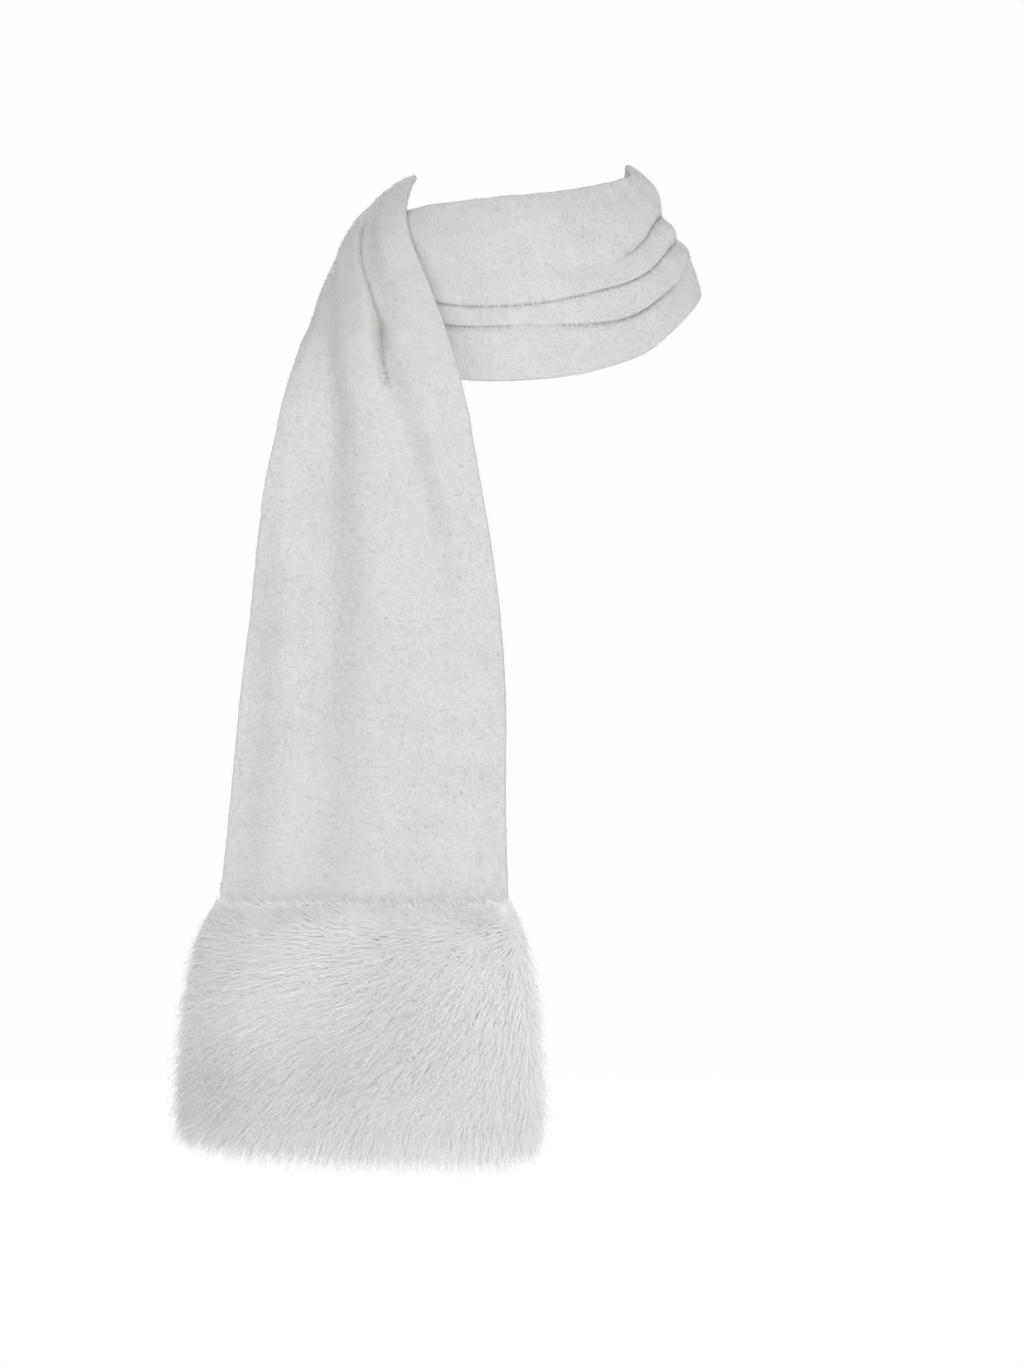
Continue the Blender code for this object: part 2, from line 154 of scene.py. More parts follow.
FOLDS = (
    (
        Crease(0, 0.09, 0.0, 12, 12, 0.0),
        Crease(5, 0.10, 0.0, 12, 12, 0.0),
        Crease(6.5, 0.17, 0.5, 12, 12, 0.0),
        Crease(8, 0.25, 2.5, 13, 11, 0.0),
        Crease(9.5, 0.31, 3.8, 13, 10, 0.0),
        Crease(10.6, 0.32, 4.4, 13, 10, 0.0),
        Crease(11.7, 0.30, 4.2, 12, 10, 0.0),
        Crease(12.6, 0.26, 2.9, 11, 11, 0.0),
        Crease(13.6, 0.20, 0.8, 11, 12, 0.0),
        Crease(14.6, 0.20, 0.4, 13, 14, 0.0),
        Crease(16, 0.22, 2.5, 13, 13, 0.3),
        Crease(17, 0.27, 4.5, 14, 13, 0.7),
        Crease(20, 0.31, 4.0, 13, 14, 0.7),
        Crease(22.6, 0.36, 9.5, 15, 15, 0.6, -2.0),
        Crease(24.2, 0.34, 7.0, 11, 13, 0.8, -2.4),
        Crease(25.2, 0.42, 3.8, 11, 11, 0.8, -1.5),
        Crease(26.3, 0.47, 2.5, 15, 13, 0.3),
        Crease(28, 0.42, 1.4, 16, 16, 0.0),
        Crease(31, 0.37, 1.2, 16, 16, 0.0),
        Crease(34, 0.30, 2.0, 15, 15, 0.2),
        Crease(37, 0.25, 4.5, 16, 16, 0.1),
        Crease(39, 0.23, 6.0, 19, 19, 0.0),
        Crease(41.5, 0.20, 3.5, 22, 22, 0.0),
        Crease(44, 0.20, 0.5, 22, 22, 0.0),
    ),
    (
        Crease(0, 0.20, 0.5, 22, 22, 0.0),
        Crease(2, 0.22, 1.5, 18, 22, 0.0),
        Crease(3.5, 0.24, 4.0, 16, 20, 0.0),
        Crease(4.45, 0.27, 6.0, 15, 18, 0.0),
        Crease(5.3, 0.325, 7.0, 16, 15, 0.0),
        Crease(6.2, 0.375, 6.5, 20, 12, 0.1),
        Crease(6.9, 0.40, 6.0, 20, 9, 0.3, 0.5),
        Crease(7.7, 0.415, 9.0, 17, 8.0, 0.2, 0.3),
        Crease(8.7, 0.41, 9.2, 15, 7.0, 0.25, 0.9),
        Crease(9.4, 0.41, 5.6, 13, 5, 0.4, 1.6),
        Crease(10.2, 0.415, 4.0, 11, 4.6, 0.45, 1.5),
        Crease(11.0, 0.41, 3.4, 10, 4.2, 0.5, 1.5),
        Crease(12.0, 0.38, 3.0, 10, 4.2, 0.5, 1.4),
        Crease(12.9, 0.345, 2.3, 10, 5, 0.4, 1.0),
        Crease(13.6, 0.33, 1.1, 11, 7, 0.3, 0.6),
        Crease(14.6, 0.36, 1.2, 12, 9, 0.3, 0.3),
        Crease(17, 0.52, 6.0, 13, 7, 0.9, 1.5),
        Crease(20, 0.54, 6.5, 10, 10, 0.9, -1.5),
        Crease(22.6, 0.575, 7.0, 11, 15, 0.5, -2.0),
        Crease(24, 0.55, 5.5, 7, 12, 0.8, -1.8),
        Crease(25.4, 0.60, 3.0, 3.5, 9, 0.9, -1.6),
        Crease(27, 0.61, 1.9, 3, 7, 0.9, -1.1),
        Crease(29, 0.63, 1.4, 3, 7, 0.9, -0.9),
        Crease(31, 0.61, 2.0, 3, 7, 0.9, -1.1),
        Crease(34, 0.55, 5.0, 13, 13, 0.7),
        Crease(37, 0.46, 8.0, 18, 12, 0.8),
        Crease(39, 0.42, 8.0, 20, 12, 0.7),
        Crease(41, 0.42, 0.0, 20, 12, 0.7),
        Crease(44, 0.42, 0.0, 20, 12, 0.7),
    ),
    (
        Crease(0, 0.68, 4.0, 32, 30, 0.0),
        Crease(1, 0.685, 8.5, 30, 30, 0.0),
        Crease(2, 0.69, 11.5, 28, 30, 0.0),
        Crease(3, 0.70, 13.0, 27, 28, 0.0),
        Crease(4, 0.715, 13.5, 26, 26, 0.0),
        Crease(5.2, 0.735, 12.5, 24, 23, 0.0),
        Crease(6.5, 0.76, 9.5, 21, 19, 0.0),
        Crease(8.5, 0.80, 5.5, 17, 14, 0.0),
        Crease(10.5, 0.79, 2.0, 15, 12, 0.0),
        Crease(14, 0.72, 1.0, 14, 14, 0.2),
        Crease(17, 0.77, 5.0, 13, 13, 0.8),
        Crease(20, 0.76, 4.5, 13, 13, 0.8),
        Crease(22.5, 0.78, 0.5, 13, 13, 0.5),
        Crease(24, 0.79, 1.0, 13, 13, 0.5),
        Crease(25, 0.78, 3.6, 4, 10, 0.9, -1.5),
        Crease(26.4, 0.79, 2.8, 3.5, 10, 0.9, -1.4),
        Crease(28, 0.75, 1.3, 3, 8, 0.9, -0.8),
        Crease(30.5, 0.73, 1.9, 3, 8, 0.9, -1.0),
        Crease(34, 0.75, 3.0, 13, 13, 0.6),
        Crease(38, 0.72, 5.0, 18, 18, 0.1),
        Crease(41, 0.66, 4.0, 24, 24, 0.0),
        Crease(44, 0.62, 0.8, 26, 26, 0.0),
    ),
)


@dataclass(frozen=True)
class Wrinkle:
    """A small fold laid on the strip, between the main ones.

    Attributes:
        path: (place, across) points that it runs through, on the scale of a Crease.
        depth: how deep it is, below 0 for a ridge.
        reach: how wide it is on either side.
        pinch: 1 for a sharp crease and 0 for a soft trough.
    """

    path: tuple[Pair, ...]
    depth: float
    reach: float
    pinch: float = 0.0


WRINKLES: tuple[Wrinkle, ...] = (
    Wrinkle(((-0.9, 1.0), (1, 1.0), (2.5, 1.0), (5, 1.0)), 14.0, 38),
    Wrinkle(((-0.6, 0.0), (1, 0.0), (2.5, 0.0), (4, 0.0)), 6.0, 34),
    Wrinkle(((0.4, 0.42), (2, 0.40), (3.4, 0.42)), 1.2, 16),
    Wrinkle(((9.2, 0.40), (8.6, 0.39), (7.9, 0.39), (7.4, 0.385)), 1.5, 5),
    Wrinkle(((4.6, 0.86), (6, 0.90), (8, 0.93)), 1.4, 9),
    Wrinkle(((3.2, 0.06), (5, 0.08), (7, 0.10)), 1.2, 9),
    Wrinkle(((10.2, 0.62), (11.6, 0.60), (13, 0.56)), -1.2, 8),
    Wrinkle(((14.5, 0.80), (16, 0.70), (18, 0.62)), 1.6, 7),
    Wrinkle(((16, 0.14), (18, 0.10), (20.5, 0.16)), 1.4, 7, 0.3),
    Wrinkle(((18.5, 0.62), (20, 0.66), (21.8, 0.64)), 1.6, 7, 0.3),
    Wrinkle(((23.2, 0.12), (24.6, 0.10), (26.5, 0.14)), 1.2, 10),
    Wrinkle(((25.6, 0.22), (27.5, 0.26), (30, 0.24)), 0.9, 12),
    Wrinkle(((24.6, 0.90), (26, 0.92), (28, 0.90)), 1.0, 9),
    Wrinkle(((22.0, 0.74), (23.4, 0.80), (25.2, 0.90)), 3.0, 7, 0.3),
    Wrinkle(((19.8, 0.42), (21.2, 0.46), (22.4, 0.47), (23.6, 0.49)), 5.0, 10),
    Wrinkle(((34.4, 0.66), (36, 0.60), (38, 0.58)), 2.2, 9, 0.2),
    Wrinkle(((35.5, 0.86), (37.5, 0.88), (39.5, 0.84)), 1.8, 9),
    Wrinkle(((38.5, 0.30), (40, 0.28), (42, 0.32)), 1.4, 14),
    Wrinkle(((40.5, 0.78), (42.5, 0.82), (44.5, 0.84)), 1.6, 15),
    Wrinkle(((40, 1.0), (42, 1.0), (45, 1.0), (48, 1.0)), 4.0, 22),
)


class Ring(NamedTuple):
    """One level of a cuff's outermost hair tips.

    Drop is below the seam. The two overhangs are how far the tips stand out past the strip's
    inner and outer edge.
    """

    drop: float
    inner_overhang: float
    outer_overhang: float
    half_depth: float


CUFF_RINGS = (
    Ring(-30, 0.0, 0.0, 7),
    Ring(0, 4.0, 3.5, 8),
    Ring(8, 9.0, 10.5, 15),
    Ring(19, 14.0, 16.5, 21),
    Ring(31, 18.0, 20.5, 24.5),
    Ring(42, 21.0, 23.0, 26.5),
    Ring(64, 23.5, 26.5, 28),
    Ring(87, 25.5, 29.5, 28.5),
    Ring(110, 27.0, 31.0, 28),
    Ring(128, 28.0, 30.5, 26),
    Ring(150, 27.0, 28.0, 24),
)


class Hem(NamedTuple):
    """How low the longest hair tips hang at one place along a cuff's rim.

    Share is -1 at the cuff's outer side and 1 at its inner side.
    """

    share: float
    drop: float


CUFF_HEM = (
    Hem(-1.0, 133),
    Hem(-0.85, 138),
    Hem(-0.45, 144),
    Hem(0.3, 148),
    Hem(0.75, 148),
    Hem(1.0, 142),
)


class Patch(NamedTuple):
    """A soft patch of the pile that looks darker or, below 0, lighter than the rest.

    Across is along X and drop below the seam, both in millimetres.
    """

    across: float
    drop: float
    reach: float
    shade: float


DARK_PATCHES = (
    Patch(-170, 24, 32, 0.9),
    Patch(-166, 92, 36, 1.2),
    Patch(-94, 86, 18, 0.7),
    Patch(-124, 10, 20, 0.4),
    Patch(-62, 6, 22, 0.5),
    Patch(-40, 62, 40, 0.3),
    Patch(-110, 40, 30, -0.4),
    Patch(-10, 60, 46, -0.8),
    Patch(-30, 125, 50, -0.5),
    Patch(-140, 60, 22, -0.5),
)
WARM_PATCHES = (
    Patch(-84, 32, 24, 0.8),
    Patch(-58, 62, 30, 0.9),
    Patch(-30, 84, 24, 0.5),
    Patch(-128, 8, 14, 0.4),
)

PATCH_FALL_OFF = 1.5  # how quickly a patch fades at its reach

# Pairs of a drop below the seam and a heading in degrees from +X, turning upwards.
BRUSHED_HEADINGS = ((0, 146), (8, 156), (16, 170), (30, 188), (70, 212), (110, 226), (150, 234))
OUTER_RIM_HEADINGS = ((0, 168), (12, 190), (30, 204))
INNER_RIM_HEADINGS = ((0, 365), (12, 340), (30, 318))

# Pairs of a drop below the seam and how much of their length the hairs have there.
SEAM_LENGTHS = ((0, 0.32), (4, 0.5), (10, 0.64), (20, 0.8), (30, 1.0))


def unit(vectors: Array) -> Array:
    """Scales vectors along the last axis to length 1."""
    return vectors / np.linalg.norm(vectors, axis=-1, keepdims=True).clip(1e-12)


def eased(share: Array) -> Array:
    """Turns a share from 0 to 1 into one that starts and ends gently."""
    share = share.clip(0, 1)
    return share * share * (3 - 2 * share)


def ramp(values: Array, start: float, end: float) -> Array:
    """Rises gently from 0 to 1 while the values go from start to end."""
    return eased((values - start) / (end - start))


def read_pairs(pairs: tuple[Pair, ...], places: Array) -> Array:
    """Reads pairs of a place and a value, on straight lines between them."""
    return np.interp(places, *np.transpose(pairs))


def smooth_curve(knots: Array, values: Array, places: Array) -> Array:
    """Draws a smooth curve through values at knots.

    Args:
        knots: where the values are, rising, evenly spaced or not.
        values: a number or a row of numbers for each knot.
        places: where the curve is read.

    Returns:
        One row for each place.
    """
    knots = np.asarray(knots, float)
    values = np.asarray(values, float).reshape(len(knots), -1)
    steps = np.diff(knots)[:, None]
    slopes = np.diff(values, axis=0) / steps
    tangents = np.empty_like(values)
    tangents[0], tangents[-1] = slopes[0], slopes[-1]
    weighted = slopes[:-1] * steps[1:] + slopes[1:] * steps[:-1]
    tangents[1:-1] = weighted / (steps[1:] + steps[:-1])
    i = np.clip(np.searchsorted(knots, places, side="right") - 1, 0, len(steps) - 1)
    step = steps[i]
    t = (places - knots[i])[:, None] / step
    return (
        (2 * t**3 - 3 * t**2 + 1) * values[i]
        + (t**3 - 2 * t**2 + t) * step * tangents[i]
        + (3 * t**2 - 2 * t**3) * values[i + 1]
        + (t**3 - t**2) * step * tangents[i + 1]
    )


def patch_sum(patches: tuple[Patch, ...], across: Array, drop: Array) -> Array:
    """Adds up how strongly soft patches show at places on the pile.

    Args:
        patches: the patches.
        across: where each place is along X.
        drop: how far each place is below the seam.

    Returns:
        The sum at each place.
    """
    total = np.zeros_like(across)
    for patch in patches:
        apart = np.hypot(across - patch.across, drop - patch.drop) / patch.reach
        total += patch.shade * np.exp(-(apart**2) * PATCH_FALL_OFF)
    return total


def nearest(points: Array, centres: Array) -> Array:
    """Finds the nearest centre to each point.

    Args:
        points: any number of points.
        centres: the points to choose from.

    Returns:
        The number of a centre for each point.
    """
    found = np.empty(len(points), int)
    block = 4000
    for start in range(0, len(points), block):
        part = points[start : start + block]
        apart = ((part[:, None] - centres[None]) ** 2).sum(axis=2)
        found[start : start + block] = apart.argmin(axis=1)
    return found


class Graph:
    """A material's or a world's nodes, added and joined by short calls."""

    def __init__(self, tree: bpy.types.NodeTree) -> None:
        """Starts from an empty tree."""
        self.tree = tree
        tree.nodes.clear()

    def add(self, kind: str, sockets: dict | None = None, **settings: object) -> bpy.types.Node:
        """Adds a node.

        Args:
            kind: the node's type in Blender, without its leading ShaderNode.
            sockets: a value or a source socket for each input, by the input's name or number.
            settings: the node's own settings.

        Returns:
            The new node.
        """
        node = self.tree.nodes.new("ShaderNode" + kind)
        for name, value in settings.items():
            setattr(node, name, value)
        for name, value in (sockets or {}).items():
            if isinstance(value, Socket):
                self.tree.links.new(value, node.inputs[name])
            else:
                node.inputs[name].default_value = value
        return node

    def maths(self, operation: str, *values: object) -> Socket:
        """Adds a Math node on numbers or sockets and gives its result."""
        return self.add("Math", dict(enumerate(values)), operation=operation).outputs[0]

    def total(self, *parts: tuple[Socket, float]) -> Socket:
        """Adds sockets up, each times its weight.

        Args:
            parts: pairs of a socket and its weight.

        Returns:
            The sum.
        """
        found = None
        for socket, weight in parts:
            weighed = self.maths("MULTIPLY", socket, weight)
            found = weighed if found is None else self.maths("ADD", found, weighed)
        return found

    def mixed(self, share: object, first: object, second: object) -> Socket:
        """Mixes two colours by a share from 0 to 1 and gives the result."""
        return self.add("Mix", {0: share, 6: first, 7: second}, data_type="RGBA").outputs[2]

    def spread(self, value: object, source: Pair, target: Pair) -> Socket:
        """Takes a value from one range to another and gives the result."""
        limits = {"From Min": source[0], "From Max": source[1], "To Min": target[0], "To Max": target[1]}
        return self.add("MapRange", {"Value": value, **limits}).outputs[0]

    def noise(self, place: Socket, grain: float, detail: float = 2.0) -> Socket:
        """Adds a noise whose blots are about a grain wide, in millimetres, and gives its value."""
        sockets = {"Vector": place, "Scale": 1 / (grain * MM), "Detail": detail}
        return self.add("TexNoise", sockets).outputs[0]


def new_material(name: str) -> tuple[Material, Graph]:
    """Makes an empty material.

    Args:
        name: the material's name.

    Returns:
        The material and its nodes.
    """
    made = bpy.data.materials.new(name)
    made.use_nodes = True
    return made, Graph(made.node_tree)


@dataclass(frozen=True)
class BrushedKnit:
    """The finish of the cloth: a fine knit whose face is brushed into a soft nap."""

    name: str = "brushed_knit"
    light: Colour = (0.744, 0.755, 0.753, 1.0)
    shaded: Colour = (0.654, 0.664, 0.653, 1.0)
    # painted shade: the olive colour that the sharp creases are darkened towards
    crease_shadow_colour: Colour = (0.52, 0.54, 0.44, 1.0)
    mottle: float = 2.2  # how wide the brush's blots are, in millimetres, as the next numbers
    brushed: Point = (0.55, 1.0, 0.0)  # draws the blots out across the strip
    cloud: float = 22.0
    fuzz: float = 0.9
    wale: float = 1.7
    course: float = 2.3
    wander: float = 0.8
    wander_turns: float = 6.0  # radians
    heights: tuple[float, ...] = (0.06, 0.04, 1.0, 1.2)  # of wales, courses, fuzz, mottle
    tones: tuple[float, ...] = (0.6, 0.4, 0.03)  # of mottle, cloud and wales
    tone_range: Pair = (0.3, 0.7)
    relief: float = 0.35
    bump_strength: float = 0.6
    roughness: float = 0.92
    roughness_spread: float = 0.06
    specular: float = 0.15
    sheen: float = 0.25
    sheen_roughness: float = 0.5

    def material(self) -> Material:
        """Makes the material, whose wales follow the strip by its own coordinates, with painted shade
        along the sharp creases.

        Returns:
            The material.
        """
        made, graph = new_material(self.name)
        place = graph.add("TexCoord").outputs["Object"]
        strip = graph.add("Attribute", attribute_name="strip").outputs["Vector"]
        lane = graph.add("SeparateXYZ", {0: strip})
        mottle = self.drawn_out(graph, strip)
        cloud = graph.noise(place, self.cloud)
        fuzz = graph.noise(place, self.fuzz, 3.0)
        wander = graph.maths("MULTIPLY", mottle, self.wander)
        wales = self.waves(graph, lane.outputs[0], wander, self.wale)
        courses = self.waves(graph, lane.outputs[1], wander, self.course)
        height = graph.total(*zip((wales, courses, fuzz, mottle), self.heights))
        tone = graph.total(*zip((mottle, cloud, wales), self.tones))
        colour = graph.mixed(graph.spread(tone, self.tone_range, (0, 1)), self.shaded, self.light)
        # painted shade: the strip's third coordinate darkens the colour towards the crease shade along
        # the sharp creases, broken up by the cloud
        colour = graph.mixed(graph.maths("MULTIPLY", lane.outputs[2], cloud), colour, self.crease_shadow_colour)
        bump = {"Height": height, "Strength": self.bump_strength, "Distance": self.relief * MM}
        roughest = self.roughness + self.roughness_spread
        smoothest = self.roughness - self.roughness_spread
        shader = graph.add(
            "BsdfPrincipled",
            {
                "Base Color": colour,
                "Roughness": graph.spread(fuzz, (0, 1), (smoothest, roughest)),
                "Specular IOR Level": self.specular,
                "Sheen Weight": self.sheen,
                "Sheen Roughness": self.sheen_roughness,
                "Normal": graph.add("Bump", bump).outputs[0],
            },
        )
        graph.add("OutputMaterial", {"Surface": shader.outputs[0]})
        made.diffuse_color = self.light
        return made

    def drawn_out(self, graph: Graph, strip: Socket) -> Socket:
        """Adds blots that are longer across the strip than along it, as a brush leaves them.

        Args:
            graph: the material's nodes.
            strip: the strip's own coordinates.

        Returns:
            A value from 0 to 1.
        """
        stretched = graph.add("VectorMath", {0: strip, 1: self.brushed}, operation="MULTIPLY").outputs[0]
        sockets = {"Vector": stretched, "Scale": 1 / self.mottle, "Detail": 4.0}
        return graph.add("TexNoise", sockets).outputs[0]

    def waves(
        self, graph: Graph, run: Socket, wander: Socket, pitch: float
    ) -> Socket:
        """Adds waves of a pitch along one of the strip's coordinates.

        Args:
            graph: the material's nodes.
            run: the coordinate, in millimetres.
            wander: a small number that shifts the waves, so that they aren't ruled.
            pitch: from one wave to the next, in millimetres.

        Returns:
            A value from -1 to 1.
        """
        turns = graph.total((run, math.tau / pitch), (wander, self.wander_turns))
        return graph.maths("SINE", turns)


@dataclass(frozen=True)
class FibreFinish:
    """The finish of loose fibres, whose roots are a little darker than their tips.

    The mesh carries three numbers for each point: how far along the fibre it is, the fibre's
    own tone, and how much of the warm tint it has.
    """

    name: str
    root: Colour
    tip: Colour
    warm: Colour
    roughness: float
    sheen: float
    translucency: float
    specular: float = 0.2
    tone_range: Pair = (0.88, 1.02)

    def material(self) -> Material:
        """Makes the material from the numbers that the mesh carries.

        Returns:
            The material.
        """
        made, graph = new_material(self.name)
        carried = graph.add("Attribute", attribute_name="fibre").outputs["Vector"]
        along, tone, warmth = graph.add("SeparateXYZ", {0: carried}).outputs
        plain = graph.mixed(along, self.root, self.tip)
        toned = graph.spread(tone, (0, 1), self.tone_range)
        grey = graph.add("CombineXYZ", {0: toned, 1: toned, 2: toned}).outputs[0]
        factors = {0: 1.0, 6: plain, 7: grey}
        multiplied = graph.add("Mix", factors, data_type="RGBA", blend_type="MULTIPLY")
        colour = graph.mixed(warmth, multiplied.outputs[2], self.warm)
        shader = graph.add(
            "BsdfPrincipled",
            {
                "Base Color": colour,
                "Roughness": self.roughness,
                "Specular IOR Level": self.specular,
                "Sheen Weight": self.sheen,
            },
        )
        through = graph.add("BsdfTranslucent", {"Color": colour})
        both = graph.add("MixShader", {0: self.translucency, 1: shader.outputs[0], 2: through.outputs[0]})
        graph.add("OutputMaterial", {"Surface": both.outputs[0]})
        made.diffuse_color = self.tip
        return made


PILE_FINISH = FibreFinish(
    "long_pile",
    (0.965, 0.97, 0.967, 1.0),
    (0.975, 0.98, 0.978, 1.0),
    (0.86, 0.83, 0.77, 1.0),
    0.8,
    0.12,
    0.15,
)
# painted shade: the core is coloured a little darker than the pile, as the shade deep down in the pile
PAINTED_SHADE_CORE_FINISH = FibreFinish(
    "pile_core_painted_shade",
    (0.84, 0.845, 0.835, 1.0),
    (0.9, 0.905, 0.9, 1.0),
    (0.8, 0.78, 0.74, 1.0),
    0.95,
    0.0,
    0.0,
)
NAP_FINISH = FibreFinish(
    "brushed_nap",
    (0.70, 0.715, 0.705, 1.0),
    (0.78, 0.79, 0.785, 1.0),
    (0.72, 0.70, 0.66, 1.0),
    0.9,
    0.1,
    0.3,
)


def mesh_object(
    name: str,
    points: Array,
    faces: list[Array],
    normals: Array,
    finish: Material,
) -> Object:
    """Puts a mesh into the scene.

    Args:
        name: the piece's name.
        points: its vertices, in millimetres, in an array of any shape.
        faces: arrays of vertex numbers, one array for each number of corners.
        normals: the direction that the surface faces at each vertex.
        finish: its material.

    Returns:
        The new object, shaded smooth by the normals given.
    """
    mesh = bpy.data.meshes.new(name)
    corners = np.concatenate([group.ravel() for group in faces]).astype(np.int32)
    counts = np.concatenate([np.full(len(group), group.shape[1]) for group in faces])
    starts = np.concatenate([[0], np.cumsum(counts)[:-1]]).astype(np.int32)
    mesh.vertices.add(points.size // 3)
    mesh.vertices.foreach_set("co", (points * MM).astype(np.float32).ravel())
    mesh.loops.add(len(corners))
    mesh.loops.foreach_set("vertex_index", corners)
    mesh.polygons.add(len(counts))
    mesh.polygons.foreach_set("loop_start", starts)
    mesh.update(calc_edges=True)
    mesh.validate()
    mesh.shade_smooth()
    mesh.normals_split_custom_set_from_vertices(unit(normals).reshape(-1, 3).astype(np.float32))
    mesh.materials.append(finish)
    made = bpy.data.objects.new(name, mesh)
    bpy.context.scene.collection.objects.link(made)
    return made


def ring_quads(rows: int, ring: int) -> Array:
    """Numbers the corners of the faces between closed rows of points, four to a face.

    Args:
        rows: how many rows there are.
        ring: how many points a row has.

    Returns:
        Four vertex numbers for each face.
    """
    row, column = np.mgrid[0 : rows - 1, 0:ring]
    beside = (column + 1) % ring
    above, below = row * ring, (row + 1) * ring
    corners = [above + column, below + column, below + beside, above + beside]
    return np.stack(corners, axis=-1).reshape(-1, 4)


def ring_normals(grid: Array) -> Array:
    """Works out the normals of closed rows of points."""
    around = np.roll(grid, -1, axis=1) - np.roll(grid, 1, axis=1)
    return unit(np.cross(np.gradient(grid, axis=0), around))


def row_lengths(grid: Array) -> Array:
    """Measures the steps from point to point along each row."""
    return np.linalg.norm(np.diff(grid, axis=1), axis=2)


def carry(made: Object, name: str, values: Array) -> None:
    """Stores three numbers for each vertex under a name that a material reads."""
    stored = made.data.attributes.new(name, "FLOAT_VECTOR", "POINT")
    stored.data.foreach_set("vector", values.astype(np.float32).ravel())


@dataclass
class Fibres:
    """Flat tapered fibres, joined into one mesh.

    Attributes:
        lines: each fibre's centreline, from root to tip.
        facing: the direction that each fibre's flat side faces, at each point of its line.
        half_width: at the root, for each fibre.
        tone: a number from 0 to 1 for each fibre.
        warmth: how much warm tint each fibre has.
        fullest: how far along a fibre it starts to taper.
        tip_width: how much of its width is left just before the tip.
        tilt: how far the two edges' normals lean apart, so that a fibre looks round.
    """

    lines: Array
    facing: Array
    half_width: Array
    tone: Array
    warmth: Array
    fullest: float = 0.35
    tip_width: float = 0.25
    tilt: float = 0.12

    def build(self, name: str, finish: Material) -> Object:
        """Makes the mesh.

        Args:
            name: the piece's name.
            finish: its material.

        Returns:
            The new object.
        """
        count, stops, _ = self.lines.shape
        along = np.linspace(0, 1, stops)
        side = unit(np.cross(self.facing, unit(np.gradient(self.lines, axis=1))))
        taper = 1 - ramp(along, self.fullest, 1) * (1 - self.tip_width)
        offset = (side * (self.half_width[:, None] * taper)[:, :, None])[:, :-1]
        body, tip = self.lines[:, :-1], self.lines[:, -1:]
        points = np.concatenate([body - offset, body + offset, tip], axis=1)
        lean = side[:, :-1] * self.tilt
        body, tip = self.facing[:, :-1], self.facing[:, -1:]
        normals = np.concatenate([body - lean, body + lean, tip], axis=1)
        made = mesh_object(name, points, self.faces(count, stops - 1), normals, finish)
        values = np.empty((*points.shape[:2], 3))
        values[:, :, 0] = np.concatenate([along[:-1], along[:-1], along[-1:]])
        values[:, :, 1] = self.tone[:, None]
        values[:, :, 2] = self.warmth[:, None]
        carry(made, "fibre", values)
        return made

    def faces(self, count: int, spans: int) -> list[Array]:
        """Numbers the corners of the fibres' faces.

        Args:
            count: how many fibres there are.
            spans: how many lengths a fibre has, the last of them a triangle.

        Returns:
            The four-cornered faces, where there are any, and the triangles.
        """
        first = (np.arange(count) * (2 * spans + 1))[:, None]
        k = np.arange(spans - 1)
        quads = np.stack([k, k + 1, spans + k + 1, spans + k], axis=1)
        found = [(first[:, :, None] + quads[None]).reshape(-1, 4)] if spans > 1 else []
        return found + [first + np.array([[spans - 1, 2 * spans, 2 * spans - 1]])]


class Held(Enum):
    """How a stretch of cloth is held."""

    DRAPED = "draped"
    GATHERED = "gathered"


